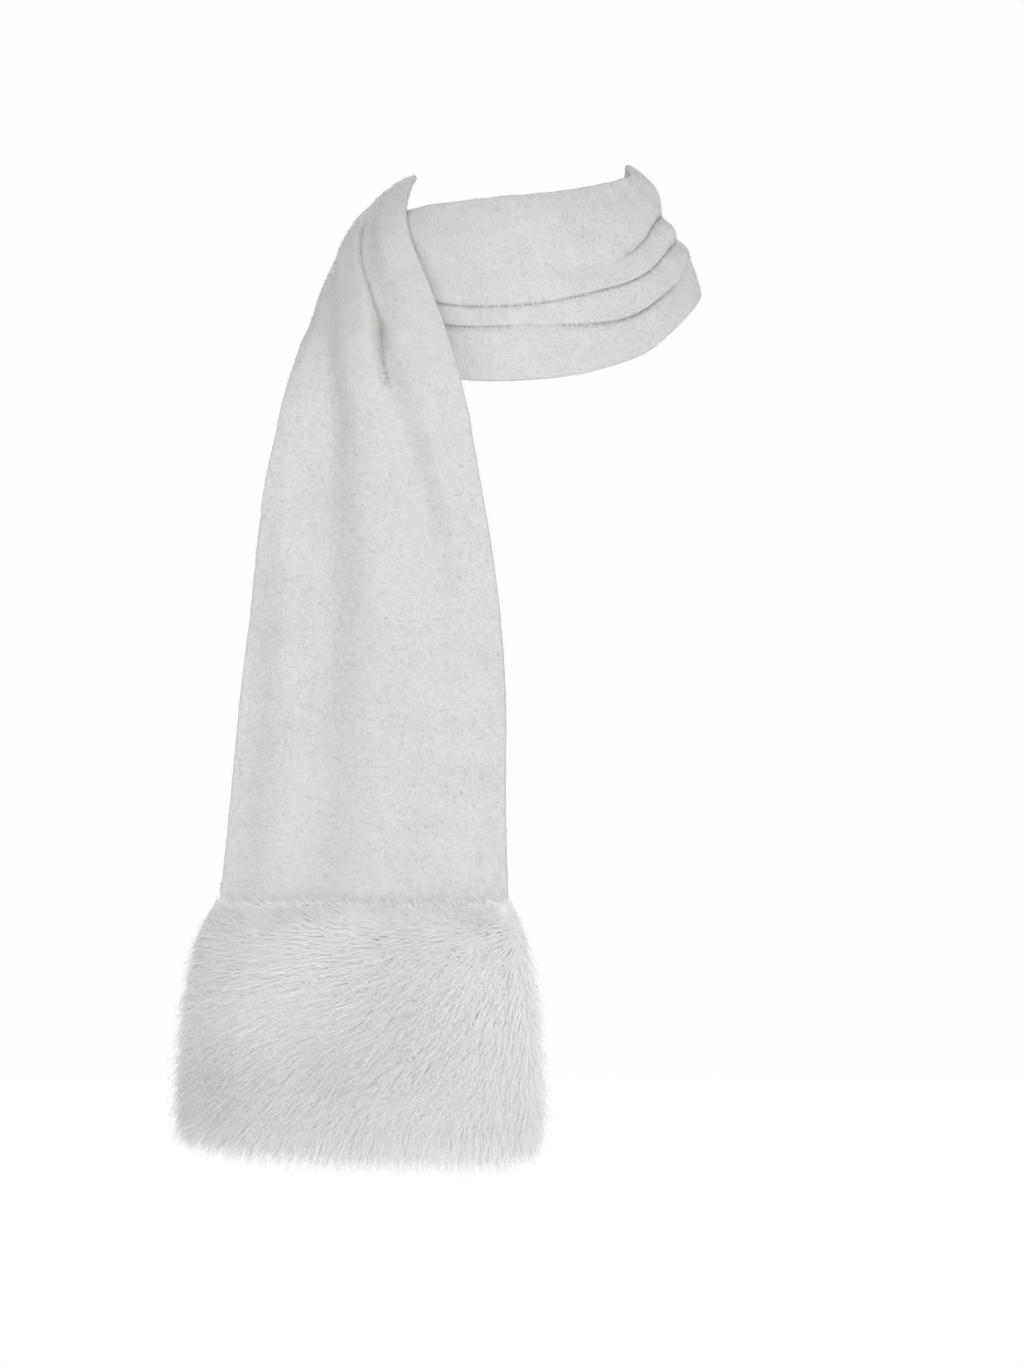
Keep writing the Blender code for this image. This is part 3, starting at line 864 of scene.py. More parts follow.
@dataclass
class Strip:
    """The whole strip of cloth, as rows of points that run once round its section."""

    cut_width: float = 147.0
    wall: float = 2.6
    edge_inset: float = 0.8
    swell_skew: float = 0.75  # below 1, a section swells nearer its inner edge
    swell_start: float = 0.01  # leaves out the swell's steepest part
    row_step: float = 2.5
    columns_between_folds: tuple[int, ...] = (15, 16, 15, 15)
    crowding: float = 0.6  # how much closer the columns lie by a fold, from 0 to 1
    lap_reach: float = 9.0
    # painted shade along the sharp creases of the outer face: its width, spread and strength
    crease_shadow_width: float = 0.6
    crease_shadow_spread: float = 0.17  # how much wider the painted crease shade is for each millimetre of depth
    darkest_shadow_depth: float = 2.4  # the depth times pinch from which the painted crease shade is darkest
    edge_points: int = 3
    path_points: int = 40
    path_fade: float = 0.3  # the share of a wrinkle over which it starts or ends
    undulation: float = 0.35
    undulation_waves: int = 14
    undulation_lengths: Pair = (16, 60)
    seed: int = 11

    def __post_init__(self) -> None:
        """Works out the rows, the outer and inner faces, and the normals."""
        middles = np.array([(np.array(s.inner) + np.array(s.outer)) / 2 for s in SECTIONS])
        steps = np.linalg.norm(np.diff(middles, axis=0), axis=1)
        self.knots = np.concatenate([[0], np.cumsum(steps)])
        self.seams: dict[int, int] = {0: 0}
        runs = [np.array([0.0])]
        for first, last in ((0, NAPE), (NAPE, THROAT), (THROAT, BACK), (BACK, LAST)):
            length = self.knots[last] - self.knots[first]
            count = round(length / self.row_step)
            runs.append(np.linspace(self.knots[first], self.knots[last], count + 1)[1:])
            self.seams[last] = self.seams[first] + count
        self.runs = np.concatenate(runs)
        self.places = np.interp(self.runs, self.knots, np.arange(len(self.knots)))
        self.across = self.column_places()
        self.lay_tube()

    def run_at(self, place: Array) -> Array:
        """Says how far along the strip a place is, in millimetres."""
        return np.interp(place, np.arange(len(self.knots)), self.knots)

    def fold_values(self, fold: tuple[Crease, ...]) -> Array:
        """Reads a fold at every row.

        Args:
            fold: where it crosses the strip.

        Returns:
            An array for each of across, depth, the two reaches, pinch and lap.
        """
        table = np.array([tuple(crease) for crease in fold], float)
        found = smooth_curve(table[:, 0], table[:, 1:], self.places)
        found[:, 1:5] = found[:, 1:5].clip(0, None)
        return found.T

    def column_places(self) -> Array:
        """Says where the columns lie, so that each fold runs along one.

        Returns:
            The share of the way from the inner to the outer edge, by rows and columns.
        """
        edge = np.zeros(len(self.places))
        lines = [edge] + [self.fold_values(fold)[0] for fold in FOLDS] + [edge + 1]
        columns = [edge]
        for line, following, count in zip(lines, lines[1:], self.columns_between_folds):
            for i in range(count):
                share = (i + 1) / count
                share -= self.crowding * math.sin(math.tau * share) / math.tau
                columns.append(line + (following - line) * share)
        return np.stack(columns, axis=1)

    def smooth_face(self) -> Array:
        """Works out the outer face before it is folded.

        Returns:
            Its points by rows and columns.
        """
        inner = smooth_curve(self.knots, [s.inner for s in SECTIONS], self.runs)
        outer = smooth_curve(self.knots, [s.outer for s in SECTIONS], self.runs)
        swell = smooth_curve(self.knots, [s.swell for s in SECTIONS], self.runs)
        rim = unit(outer - inner) * self.edge_inset
        inner, outer = inner + rim, outer - rim
        forward = unit(np.gradient(inner + outer, self.runs, axis=0))
        outward = unit(np.cross(forward, outer - inner))
        share = self.across[:, :, None]
        skew, start = self.swell_skew, self.swell_start
        skewed = (share + start) ** skew - start**skew
        crown = np.sin(math.pi * skewed / ((1 + start) ** skew - start**skew))
        points = inner[:, None] * (1 - share) + outer[:, None] * share
        return points + outward[:, None] * swell[:, None] * crown

    def face_normals(self, points: Array) -> Array:
        """Works out the outward normals of a grid of points."""
        return unit(np.cross(np.gradient(points, axis=0), np.gradient(points, axis=1)))

    def fold_depth(self, lengths: Array) -> Array:
        """Says how deep the main folds press each point in.

        Args:
            lengths: of the rows, from edge to edge.

        Returns:
            A depth for each point of the grid.
        """
        depth = np.zeros_like(self.across)
        for fold in FOLDS:
            line, deepest, inner_reach, outer_reach, pinch, _ = self.fold_values(fold)[:, :, None]
            away = (self.across - line) * lengths[:, None]
            away = np.where(away < 0, -away / inner_reach, away / outer_reach).clip(0, 1)
            depth += deepest * self.hollow(away, pinch)
        return depth

    def lap_shift(self, lengths: Array) -> Array:
        """Says how far the folds' lips hang over their creases.

        Args:
            lengths: of the rows, from edge to edge.

        Returns:
            A shift across the strip for each point of the grid, towards the outer edge.
        """
        shift = np.zeros_like(self.across)
        full_shift = 27 / 4  # brings the bulge below to 1 at its highest
        for fold in FOLDS:
            line, _, _, _, _, lap = self.fold_values(fold)[:, :, None]
            away = (self.across - line) * lengths[:, None] * np.sign(lap) / self.lap_reach
            away = away.clip(0, 1)
            shift -= lap * full_shift * away * (1 - away) ** 2
        return shift

    def painted_crease_shade(self, lengths: Array) -> Array:
        """Says how strongly shade is painted on each point of the outer face along the sharp creases,
        from 0 to 1.

        Args:
            lengths: of the rows, from edge to edge.

        Returns:
            A share for each point of the grid.
        """
        shade = np.zeros_like(self.across)
        for fold in FOLDS:
            line, deepest, _, _, pinch, _ = self.fold_values(fold)[:, :, None]
            width = self.crease_shadow_width + self.crease_shadow_spread * deepest
            away = (self.across - line) * lengths[:, None] / width
            sharp = eased(deepest * pinch / self.darkest_shadow_depth)
            shade = np.maximum(shade, sharp * np.exp(-(away**2)))
        return shade

    def hollow(self, away: Array, pinch: Array | float) -> Array:
        """Gives a fold's section, from 1 at its line to 0 where it ends."""
        return pinch * (1 - away) ** 3 + (1 - pinch) * (1 + np.cos(math.pi * away)) / 2

    def wrinkle_depth(self, lengths: Array) -> Array:
        """Says how deep the small folds press each point in.

        Args:
            lengths: of the rows, from edge to edge.

        Returns:
            A depth for each point of the grid, below 0 on a ridge.
        """
        depth = np.zeros_like(self.across)
        run = np.broadcast_to(self.runs[:, None], depth.shape)
        flat = np.stack([run, self.across * lengths[:, None]], axis=-1)
        for wrinkle in WRINKLES:
            table = np.array(wrinkle.path, float)
            length = abs(self.run_at(table[-1, 0]) - self.run_at(table[0, 0]))
            stops = np.linspace(0, 1, self.path_points + int(length / self.row_step))
            line = smooth_curve(np.linspace(0, 1, len(table)), table, stops)
            past_end = line[:, 0] - line[:, 0].clip(0, LAST)
            line_run = self.run_at(line[:, 0]) + past_end * self.knots[1]
            line_across = line[:, 1] * np.interp(line_run, self.runs, lengths)
            near = self.runs > line_run.min() - wrinkle.reach
            near &= self.runs < line_run.max() + wrinkle.reach
            grid = flat[near]
            apart = np.hypot(grid[:, :, :1] - line_run, grid[:, :, 1:] - line_across)
            away = (apart.min(axis=2) / wrinkle.reach).clip(0, 1)
            from_end = np.minimum(stops, 1 - stops)[apart.argmin(axis=2)]
            faded = eased(from_end / self.path_fade)
            depth[near] += wrinkle.depth * faded * self.hollow(away, wrinkle.pinch)
        return depth

    def unevenness(self, lengths: Array) -> Array:
        """Says how far the cloth rises and falls between its folds.

        Args:
            lengths: of the rows, from edge to edge.

        Returns:
            A depth for each point of the grid.
        """
        random = np.random.default_rng(self.seed)
        run = np.broadcast_to(self.runs[:, None], self.across.shape)
        side = self.across * lengths[:, None]
        total = np.zeros_like(side)
        for _ in range(self.undulation_waves):
            wavelength = random.uniform(*self.undulation_lengths)
            heading = random.uniform(0, math.pi)
            turns = (run * math.cos(heading) + side * math.sin(heading)) / wavelength
            total += np.sin(math.tau * (turns + random.random()))
        return total * self.undulation / math.sqrt(self.undulation_waves)

    def lay_tube(self) -> None:
        """Lays the outer face, the inner face and the rounded edges into closed rows."""
        smooth = self.smooth_face()
        lengths = row_lengths(smooth).sum(axis=1)
        depth = self.fold_depth(lengths) + self.wrinkle_depth(lengths) + self.unevenness(lengths)
        outside = smooth - self.face_normals(smooth) * depth[:, :, None]
        outside += unit(np.gradient(smooth, axis=1)) * self.lap_shift(lengths)[:, :, None]
        inside = outside - self.face_normals(outside) * self.wall
        edges = [self.edge(outside, inside, -1, -2), self.edge(outside, inside, 0, 1)[:, ::-1]]
        self.columns = outside.shape[1]
        self.tube = np.concatenate([outside, edges[0], inside[:, ::-1], edges[1]], axis=1)
        self.normals = ring_normals(self.tube)
        self.flat = np.zeros_like(self.tube)
        self.flat[:, 1:, 0] = np.cumsum(row_lengths(self.tube), axis=1)
        self.flat[:, :, 1] = self.runs[:, None]
        # the third coordinate carries the painted crease shade that the knit's material reads
        self.flat[:, : self.columns, 2] = self.painted_crease_shade(lengths)

    def edge(self, outside: Array, inside: Array, at: int, beside: int) -> Array:
        """Rounds one edge of the strip.

        Args:
            outside: the outer face.
            inside: the inner face.
            at: the edge's column.
            beside: the column next to it.

        Returns:
            The edge's points by rows, from the outer face to the inner one.
        """
        middle = (outside[:, at] + inside[:, at]) / 2
        half = (outside[:, at] - inside[:, at]) / 2
        away = unit(outside[:, at] - outside[:, beside]) * self.wall / 2
        turns = math.pi * (np.arange(self.edge_points) + 1) / (self.edge_points + 1)
        return np.stack([middle + half * math.cos(t) + away * math.sin(t) for t in turns], axis=1)

    def shell(self, name: str, first: int, last: int, finish: Material) -> Object:
        """Cuts a stretch out of the strip as a closed shell.

        Args:
            name: the piece's name.
            first: the section that it starts from.
            last: the section that it ends at.
            finish: its material.

        Returns:
            The new object.
        """
        rows = slice(self.seams[first], self.seams[last] + 1)
        points = self.tube[rows]
        height, ring = points.shape[:2]
        faces = [ring_quads(height, ring)]
        innermost = 2 * self.columns + self.edge_points - 1
        for start, turned in ((0, False), ((height - 1) * ring, True)):
            outer = np.arange(self.columns - 1)
            inner = innermost - outer
            caps = np.stack([outer, outer + 1, inner - 1, inner], axis=1) + start
            right = np.arange(self.columns - 1, self.columns + self.edge_points + 1)[None] + start
            left = np.append(np.arange(innermost, ring), 0)[None] + start
            for cap in (caps, right, left):
                faces.append(cap[:, ::-1] if turned else cap)
        made = mesh_object(name, points, faces, self.normals[rows], finish)
        carry(made, "strip", self.flat[rows])
        return made

    def spots(self, rows: slice, count: int, random: Chance) -> tuple[Array, ...]:
        """Picks places spread evenly over a stretch's surface.

        Args:
            rows: the stretch's rows.
            count: how many places.
            random: where chance comes from.

        Returns:
            The points, their normals and the strip's forward direction there.
        """
        points, normals = self.tube[rows], self.normals[rows]
        down = points[1:] - points[:-1]
        side = np.roll(points, -1, axis=1)[:-1] - points[:-1]
        areas = np.linalg.norm(np.cross(down, side), axis=2)
        picked = random.choice(areas.size, count, p=(areas / areas.sum()).ravel())
        row, column = np.unravel_index(picked, areas.shape)
        beside = (column + 1) % points.shape[1]
        u, v = random.random((2, count, 1))
        found = []
        for grid in (points, normals):
            top = grid[row, column] * (1 - v) + grid[row, beside] * v
            bottom = grid[row + 1, column] * (1 - v) + grid[row + 1, beside] * v
            found.append(top * (1 - u) + bottom * u)
        return found[0], unit(found[1]), unit(down[row, column])


@dataclass
class ClothStretch:
    """One stretch of the strip that shows, with the nap that stands on it."""

    strip: Strip
    name: str
    first: int
    last: int
    held: Held
    rests_on: tuple[str, ...]
    seed: int
    nap_spacing: float = 1.9
    nap_length: Pair = (1.2, 3.2)
    nap_width: float = 0.28
    nap_stray: float = 1.1  # radians
    nap_lift: float = 0.75
    least_lift: float = 0.2
    nap_depth: float = 0.15
    fuzz_density: float = 5.0  # for each millimetre of a sharp crease
    fuzz_length: Pair = (1.6, 4.2)
    fuzz_sharpness: float = 1.2  # the depth times pinch from which a crease is sharp
    fuzz_columns: tuple[int, ...] = (-3, -2, 2, 3)  # counted from the crease
    fuzz_lift: Pair = (0.2, 0.9)
    fuzz_stray: float = 0.5

    @property
    def length(self) -> float:
        """Gives the stretch's length along its middle."""
        return self.strip.knots[self.last] - self.strip.knots[self.first]

    def build(self, knit: Material, fibre: Material) -> None:
        """Args:
            knit: the cloth's finish.
            fibre: the nap's finish.
        """
        cloth = self.strip.shell(self.name + "_cloth", self.first, self.last, knit)
        nap = self.build_nap(fibre)
        for piece in (cloth, nap):
            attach(piece, "root")
        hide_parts(self.name)
        count = len(cloth.data.polygons)
        LOG.info("%s: cut %.0f x %.0f mm, %d faces", self.name, self.strip.cut_width, self.length, count)

    def build_nap(self, fibre: Material) -> Object:
        """Makes the short fibres that stand on the cloth.

        Args:
            fibre: their finish.

        Returns:
            The new object.
        """
        random = np.random.default_rng(self.seed)
        rows = slice(self.strip.seams[self.first], self.strip.seams[self.last] + 1)
        around = row_lengths(self.strip.tube[rows]).sum(axis=1).mean()
        count = int(around * self.length / self.nap_spacing**2)
        roots, normals, forward = self.strip.spots(rows, count, random)
        heading = random.normal(0, self.nap_stray, (count, 1)) + math.pi
        lying = forward * np.cos(heading) + np.cross(normals, forward) * np.sin(heading)
        lift = random.uniform(self.least_lift, 1, (count, 1)) * self.nap_lift
        reach = random.uniform(*self.nap_length, (count, 1))
        tips = roots + unit(lying + normals * lift) * reach
        nap = [(roots, normals, tips)] + self.crease_fuzz(random)
        roots, normals, tips = (np.concatenate(parts) for parts in zip(*nap))
        count = len(roots)
        lines = np.stack([roots - normals * self.nap_depth, tips], axis=1)
        facing = np.repeat(normals[:, None], 2, axis=1)
        width = np.full(count, self.nap_width / 2)
        fibres = Fibres(lines, facing, width, random.random(count), np.zeros(count))
        return fibres.build(self.name + "_nap", fibre)

    def crease_fuzz(self, random: Chance) -> list[tuple[Array, ...]]:
        """Picks the loose fibres that cross the sharp creases.

        Args:
            random: where chance comes from.

        Returns:
            For each crease, their roots, the cloth's normals there, and their tips.
        """
        strip = self.strip
        first, last = strip.seams[self.first], strip.seams[self.last]
        found = []
        column = 0
        for fold, between in zip(FOLDS, strip.columns_between_folds):
            column += between
            _, depth, _, _, pinch, _ = strip.fold_values(fold)
            sharp = np.flatnonzero(depth[first:last] * pinch[first:last] > self.fuzz_sharpness) + first
            if not len(sharp):
                continue
            count = int(len(sharp) * strip.row_step * self.fuzz_density)
            row = random.choice(sharp, count)
            beside = column + random.choice(self.fuzz_columns, count)
            roots, normals = strip.tube[row, beside], strip.normals[row, beside]
            strayed = random.normal(0, self.fuzz_stray, (count, 3))
            lifted = normals * random.uniform(*self.fuzz_lift, (count, 1))
            heading = unit(lifted + unit(strip.tube[row, column] - roots) + strayed)
            reach = random.uniform(*self.fuzz_length, (count, 1))
            found.append((roots, normals, roots + heading * reach))
        return found


class Roots(NamedTuple):
    """Where hairs start: across the cuff, on its front or back half, and below the seam."""

    share: Array
    side: Array
    drop: Array


class Tips(NamedTuple):
    """Where hairs end: across the cuff, below the seam, how full, and the point itself."""

    share: Array
    drop: Array
    fullness: Array
    point: Array


@dataclass(frozen=True)
class Coat:
    """One kind of hair of the pile.

    Attributes:
        name: the piece's name, after the cuff's.
        hairs: how many grow all round.
        hem_hairs: how many more grow on the underside.
        rim_hairs: how many more stand out at the two sides.
        length: the shortest and the longest.
        width: the thinnest and the thickest.
        stops: points on a hair.
        root_fullness: where hairs start, from 0 at the cloth to 1 at the longest tips.
        tip_fullness: the fullest tips.
        rim_spread: how far the shortest tips fall short of that at the sides.
        face_spread: the same on the front and the back.
        locks: how many locks the hairs gather into.
        gather: how much of the way the tips are drawn to their lock's leading tip.
        stray: how far a hair's heading strays, in radians.
    """

    name: str
    hairs: int
    hem_hairs: int
    rim_hairs: int
    length: Pair
    width: Pair
    stops: int
    root_fullness: float
    tip_fullness: float
    rim_spread: float
    face_spread: float
    locks: int
    gather: float
    stray: float


FRONT_COATS = (
    Coat(
        "undercoat", 52000, 6000, 4000,
        (9, 18), (0.42, 0.62), 3, 0.58, 0.88, 0.40, 0.08, 1800, 0.0, 0.12,
    ),
    Coat(
        "guard_hairs", 28000, 5000, 6000,
        (17, 33), (0.22, 0.36), 4, 0.60, 1.08, 0.62, 0.20, 3600, 0.02, 0.10,
    ),
)
BACK_COATS = (
    Coat(
        "undercoat", 37000, 5000, 2500,
        (10, 20), (0.52, 0.74), 3, 0.58, 0.88, 0.40, 0.08, 1400, 0.0, 0.12,
    ),
    Coat(
        "guard_hairs", 10500, 2500, 3500,
        (18, 34), (0.28, 0.44), 4, 0.60, 1.14, 0.62, 0.20, 1600, 0.02, 0.10,
    ),
)


@dataclass(frozen=True)
class Brushing:
    """How the hairs of every coat lie, stray and end. Pairs are where something starts and is full."""

    turning: Pair = (4, 34)  # the drops between which the pile starts to turn towards the inner side
    inner_side: Pair = (-0.3, 0.8)  # the shares of the way across over which it turns
    inner_heading: float = 236.0  # the heading, in degrees, that it has there
    inner_turn: float = 30.0  # how much further it turns at the very edge
    inner_edge: Pair = (0.66, 1.0)  # the shares over which that happens
    lock_stray: float = 0.4  # how much of a coat's stray a whole lock has
    least_stray: float = 0.08  # how far single hairs stray besides
    inner_stray: float = 0.12  # how much further they stray towards the inner side
    straying: Pair = (-0.1, 0.4)  # the shares over which they come to do that
    fewest: int = 4  # how few hairs a lock has on average
    rim: Pair = (0.86, 0.93)  # the shares, either way, where the two sides start
    rim_drops: Pair = (-6, 4)  # the drops where they start below the seam
    standing: float = 0.6  # how many hairs there stand out from the rest
    standing_stray: float = 0.42  # how far those stray
    flattened: float = 0.25  # how many of the sides' hairs turn their flat side less to the front
    hem_heading: float = 244.0  # the heading of the hairs on the underside, in degrees
    hem_turn: float = 32.0  # how much it turns from the middle to the inner side
    hem_stray: float = 0.25  # how far those hairs stray
    rim_fullness: float = 0.8  # the fullness at which the sides' tips are told from the others
    rim_tips: Pair = (0.8, 0.95)  # the shares between which they are
    short_power: float = 2.2  # the higher it is, the fewer tips come near the fullest
    sunk: float = 0.06  # how much less full the tips of the front and the back are
    raised: float = 0.10  # how much fuller a few of them are
    few: float = 0.08  # how few
    hem_longest: float = 9.5  # how far the longest tips hang below the hem's line
    hem_uneven: float = 23.0  # how far above that the shortest end
    hem_power: float = 2.3  # the higher it is, the fewer tips come near the longest
    least_drop: float = 2.0  # how far below its root a hair ends at least, where the hem cuts it
    least_kept: float = 0.2  # how much of its way across it keeps at least
    steepness: float = 0.95  # how far out from the cloth a tip stays, as a share of its root's
    bow: float = 1.7  # above 1, how much a hair rises at first and lies flat at the end
    waves: Pair = (2, 5)  # how far round their waves hairs get, in radians
    wave: Pair = (0.1, 0.5)  # how wide the waves are
    # how far flat sides lean to the front or the back, a few at the sides and the rest
    turned: Pair = (0.8, 2.0)


@dataclass(frozen=True)
class Toning:
    """How light the hairs are, each from the dark of 0 to the light of 1."""

    plain: float = 0.75  # the tone without patches
    patches: float = 0.6  # how much the patches darken it
    seam: float = 1.1  # how much painted shadow darkens the pile in an uneven band below the seam
    seam_mean: float = 0.6  # how much of that is even
    seam_lengths: Pair = (6.5, 13)  # the two lengths along X on which it is uneven
    seam_bend: float = 1.7  # how much the second bends the first, in radians
    band_drop: float = 5.0  # how far below the seam the band's middle is, and how far it sways
    band_length: float = 26.0  # the length along X of its sway
    band_start: float = 1.2  # where the sway starts, in radians
    band_reach: float = 6.0  # how deep the band is
    locks: float = 0.08  # how much locks differ
    hairs: float = 0.2  # how much hairs differ
    tinted: float = 0.015  # the share of hairs with a warm tint outside the warm patches
    patch_tinted: float = 0.1  # how much more of them there are in a patch
    tint: Pair = (0.3, 1.0)  # the weakest and the strongest tint

    def painted_seam_shadow(self, across: Array, drop: Array) -> Array:
        """Says how much painted shadow darkens the pile just below the seam.

        Args:
            across: where the hairs start along X.
            drop: how far below the seam they start.

        Returns:
            A tone for each hair.
        """
        short, long = self.seam_lengths
        bent = across / short + self.seam_bend * np.sin(across / long)
        uneven = self.seam_mean + (1 - self.seam_mean) * np.sin(bent)
        band = self.band_drop + self.band_drop * np.sin(across / self.band_length + self.band_start)
        return self.seam * uneven * np.exp(-(((drop - band) / self.band_reach) ** 2))


@dataclass
class PileCuff:
    """A cuff of long pile that hangs from one end of the strip.

    A hair is followed by three numbers: its share of the way across the cuff, from -1 at the
    outer side to 1 at the inner one, its drop below the seam, and its fullness, which is 0 at
    the cloth and 1 where the longest tips end.
    """

    name: str
    section: Section
    coats: tuple[Coat, ...]
    seed: int
    brushing: Brushing = Brushing()
    toning: Toning = Toning()
    squareness: float = 2.6  # of the cuff's outline from below, 2 for an ellipse
    seam_half_depth: float = 4.5
    wall: float = 2.6
    core_fullness: float = 0.54
    core_top: float = 0.5
    core_bottom: float = 122.0
    core_ring: int = 96
    core_levels: int = 33
    core_lump: float = 0.3
    core_base: tuple[Pair, ...] = ((0.93, 4.0), (0.75, 6.5), (0.4, 8.0), (0.05, 8.5))  # shrunk, lower

    def profile(self, drop: Array) -> Array:
        """Reads the outline of the longest tips.

        Args:
            drop: below the seam.

        Returns:
            An array for each of the two overhangs and the half depth.
        """
        table = np.array(CUFF_RINGS)
        limited = drop.ravel().clip(table[0, 0], table[-1, 0])
        return smooth_curve(table[:, 0], table[:, 1:], limited).T.reshape(3, *drop.shape)

    def hem(self, share: Array) -> Array:
        """Reads how low the longest tips hang at a share of the way across."""
        table = np.array(CUFF_HEM)
        return smooth_curve(table[:, 0], table[:, 1], share.clip(-1, 1))[:, 0]

    def width_and_depth(self, drop: Array, fullness: Array | float) -> tuple[Array, ...]:
        """Measures the cuff's section.

        Args:
            drop: below the seam.
            fullness: from 0 at the cloth to 1 at the longest tips.

        Returns:
            Its middle along X, half its width and half its depth.
        """
        inner_overhang, outer_overhang, half_depth = self.profile(drop)
        right = self.section.inner[0] + inner_overhang * fullness
        left = self.section.outer[0] - outer_overhang * fullness
        depth = self.seam_half_depth + (half_depth - self.seam_half_depth) * fullness
        return (left + right) / 2, (right - left) / 2, depth

    def ring(self, angles: Array) -> tuple[Array, Array]:
        """Turns angles round the cuff into shares of the way across and sides."""
        share = np.sign(np.cos(angles)) * np.abs(np.cos(angles)) ** (2 / self.squareness)
        return share, np.sign(np.sin(angles))

    def place(
        self, share: Array, side: Array, drop: Array, fullness: Array | float
    ) -> Array:
        """Finds points of the cuff.

        Args:
            share: across the cuff.
            side: -1 on the front half and 1 on the back half, or between for the inside.
            drop: below the seam.
            fullness: from 0 at the cloth to 1 at the longest tips.

        Returns:
            One point for each, in millimetres.
        """
        middle, width, depth = self.width_and_depth(drop, fullness)
        arch = (1 - np.abs(share).clip(0, 1) ** self.squareness) ** (1 / self.squareness)
        base = self.section.inner[1] - math.copysign(self.wall / 2, self.section.inner[1])
        height = self.section.inner[2] - drop
        return np.stack([middle + width * share, base + side * depth * arch, height], axis=-1)

    def outward(
        self, share: Array, side: Array, drop: Array, fullness: Array
    ) -> Array:
        """Finds the direction that the cuff faces.

        Args:
            share: across the cuff.
            side: -1 on the front half and 1 on the back half.
            drop: below the seam.
            fullness: from 0 at the cloth to 1 at the longest tips.

        Returns:
            One direction for each.
        """
        power = self.squareness
        widest = 0.999
        reach = np.abs(share).clip(0, widest)
        arch = (1 - reach**power) ** (1 / power)
        _, width, depth = self.width_and_depth(drop, fullness)
        x = np.sign(share) * reach ** (power - 1) / width
        y = side * arch ** (power - 1) / depth
        flat = unit(np.stack([x, y, np.zeros_like(x)], axis=-1))
        flare = (self.profile(drop + 1) - self.profile(drop - 1))[2] * fullness / 2
        flat[..., 2] = flare.clip(-1, 1.5)
        return unit(flat)

    def side_roots(self, count: int, random: Chance) -> Roots:
        """Picks where hairs start on the core's side, spread evenly.

        Args:
            count: how many.
            random: where chance comes from.

        Returns:
            The hairs' roots.
        """
        angles = np.linspace(0, math.tau, 721)
        share, side = self.ring(angles)
        level = np.full(len(angles), self.core_bottom / 2)
        outline = self.place(share, side, level, self.core_fullness)
        run = np.concatenate([[0], np.cumsum(np.linalg.norm(np.diff(outline, axis=0), axis=1))])
        share, side = self.ring(np.interp(random.random(count) * run[-1], run, angles))
        lower = 0.9  # below 1, a few more of them near the bottom
        drop = self.core_bottom * random.random(count) ** lower
        return Roots(share, np.where(side < 0, -1.0, 1.0), drop)

    def hem_roots(self, count: int, random: Chance) -> Roots:
        """Picks where hairs start on the core's underside.

        Args:
            count: how many.
            random: where chance comes from.

        Returns:
            The hairs' roots.
        """
        share = random.uniform(-0.99, 0.99, count)
        outermost = 0.6  # below 1, more of them near the front and the back
        side = np.sign(random.uniform(-1, 1, count)) * random.random(count) ** outermost
        return Roots(share, side, random.uniform(self.lowest_side, self.core_bottom + 1, count))

    def rim_roots(self, count: int, random: Chance) -> Roots:
        """Picks where hairs start along the core's two sides.

        Args:
            count: how many.
            random: where chance comes from.

        Returns:
            The hairs' roots.
        """
        share = np.where(random.random(count) < 0.5, -1.0, 1.0) * random.uniform(0.93, 0.999, count)
        side = np.where(random.random(count) < 0.5, -1.0, 1.0)
        return Roots(share, side, random.uniform(2, self.core_bottom + 1, count))

    @property
    def lowest_side(self) -> float:
        """Gives the drop below which hairs count as the underside's."""
        return self.core_bottom - 6

    def heading(self, roots: Roots) -> Array:
        """Says which way the pile is brushed.

        Args:
            roots: where the hairs start.

        Returns:
            An angle from +X for each, turning upwards.
        """
        way = self.brushing
        brushed = read_pairs(BRUSHED_HEADINGS, roots.drop)
        towards_inner = ramp(roots.share, *way.inner_side) * ramp(roots.drop, *way.turning)
        slanting = way.inner_heading + way.inner_turn * ramp(roots.share, *way.inner_edge)
        return np.radians(brushed + (slanting - brushed) * towards_inner)

    def edge_heading(self, roots: Roots) -> Array:
        """Says which way the loose hairs at the two sides stand out."""
        outer, inner = (read_pairs(x, roots.drop) for x in (OUTER_RIM_HEADINGS, INNER_RIM_HEADINGS))
        return np.radians(np.where(roots.share < 0, outer, inner))

    def at_side(self, roots: Roots) -> Array:
        """Says how far each hair counts as one of the two sides', from 0 to 1."""
        way = self.brushing
        return ramp(np.abs(roots.share), *way.rim) * ramp(roots.drop, *way.rim_drops)

    def short_of(self, count: int, power: float, random: Chance) -> Array:
        """Picks how far tips end short of the longest, from 0 to 1, few of them near 0."""
        return random.random(count) ** (1 / power)

    def locks(
        self, coat: Coat, roots: Roots, start: Array, random: Chance
    ) -> tuple[Array, Array]:
        """Gathers the hairs into locks.

        Args:
            coat: the kind of hair.
            roots: where the hairs start.
            start: the same as points.
            random: where chance comes from.

        Returns:
            The hairs that lead the locks, and the number of the lock that each hair is in.
        """
        halves_apart = 400.0
        flat = np.stack([start[:, 0], start[:, 2], np.sign(roots.side) * halves_apart], axis=1)
        most = len(flat) // self.brushing.fewest
        leaders = random.choice(len(flat), min(coat.locks, most), replace=False)
        return leaders, nearest(flat, flat[leaders])

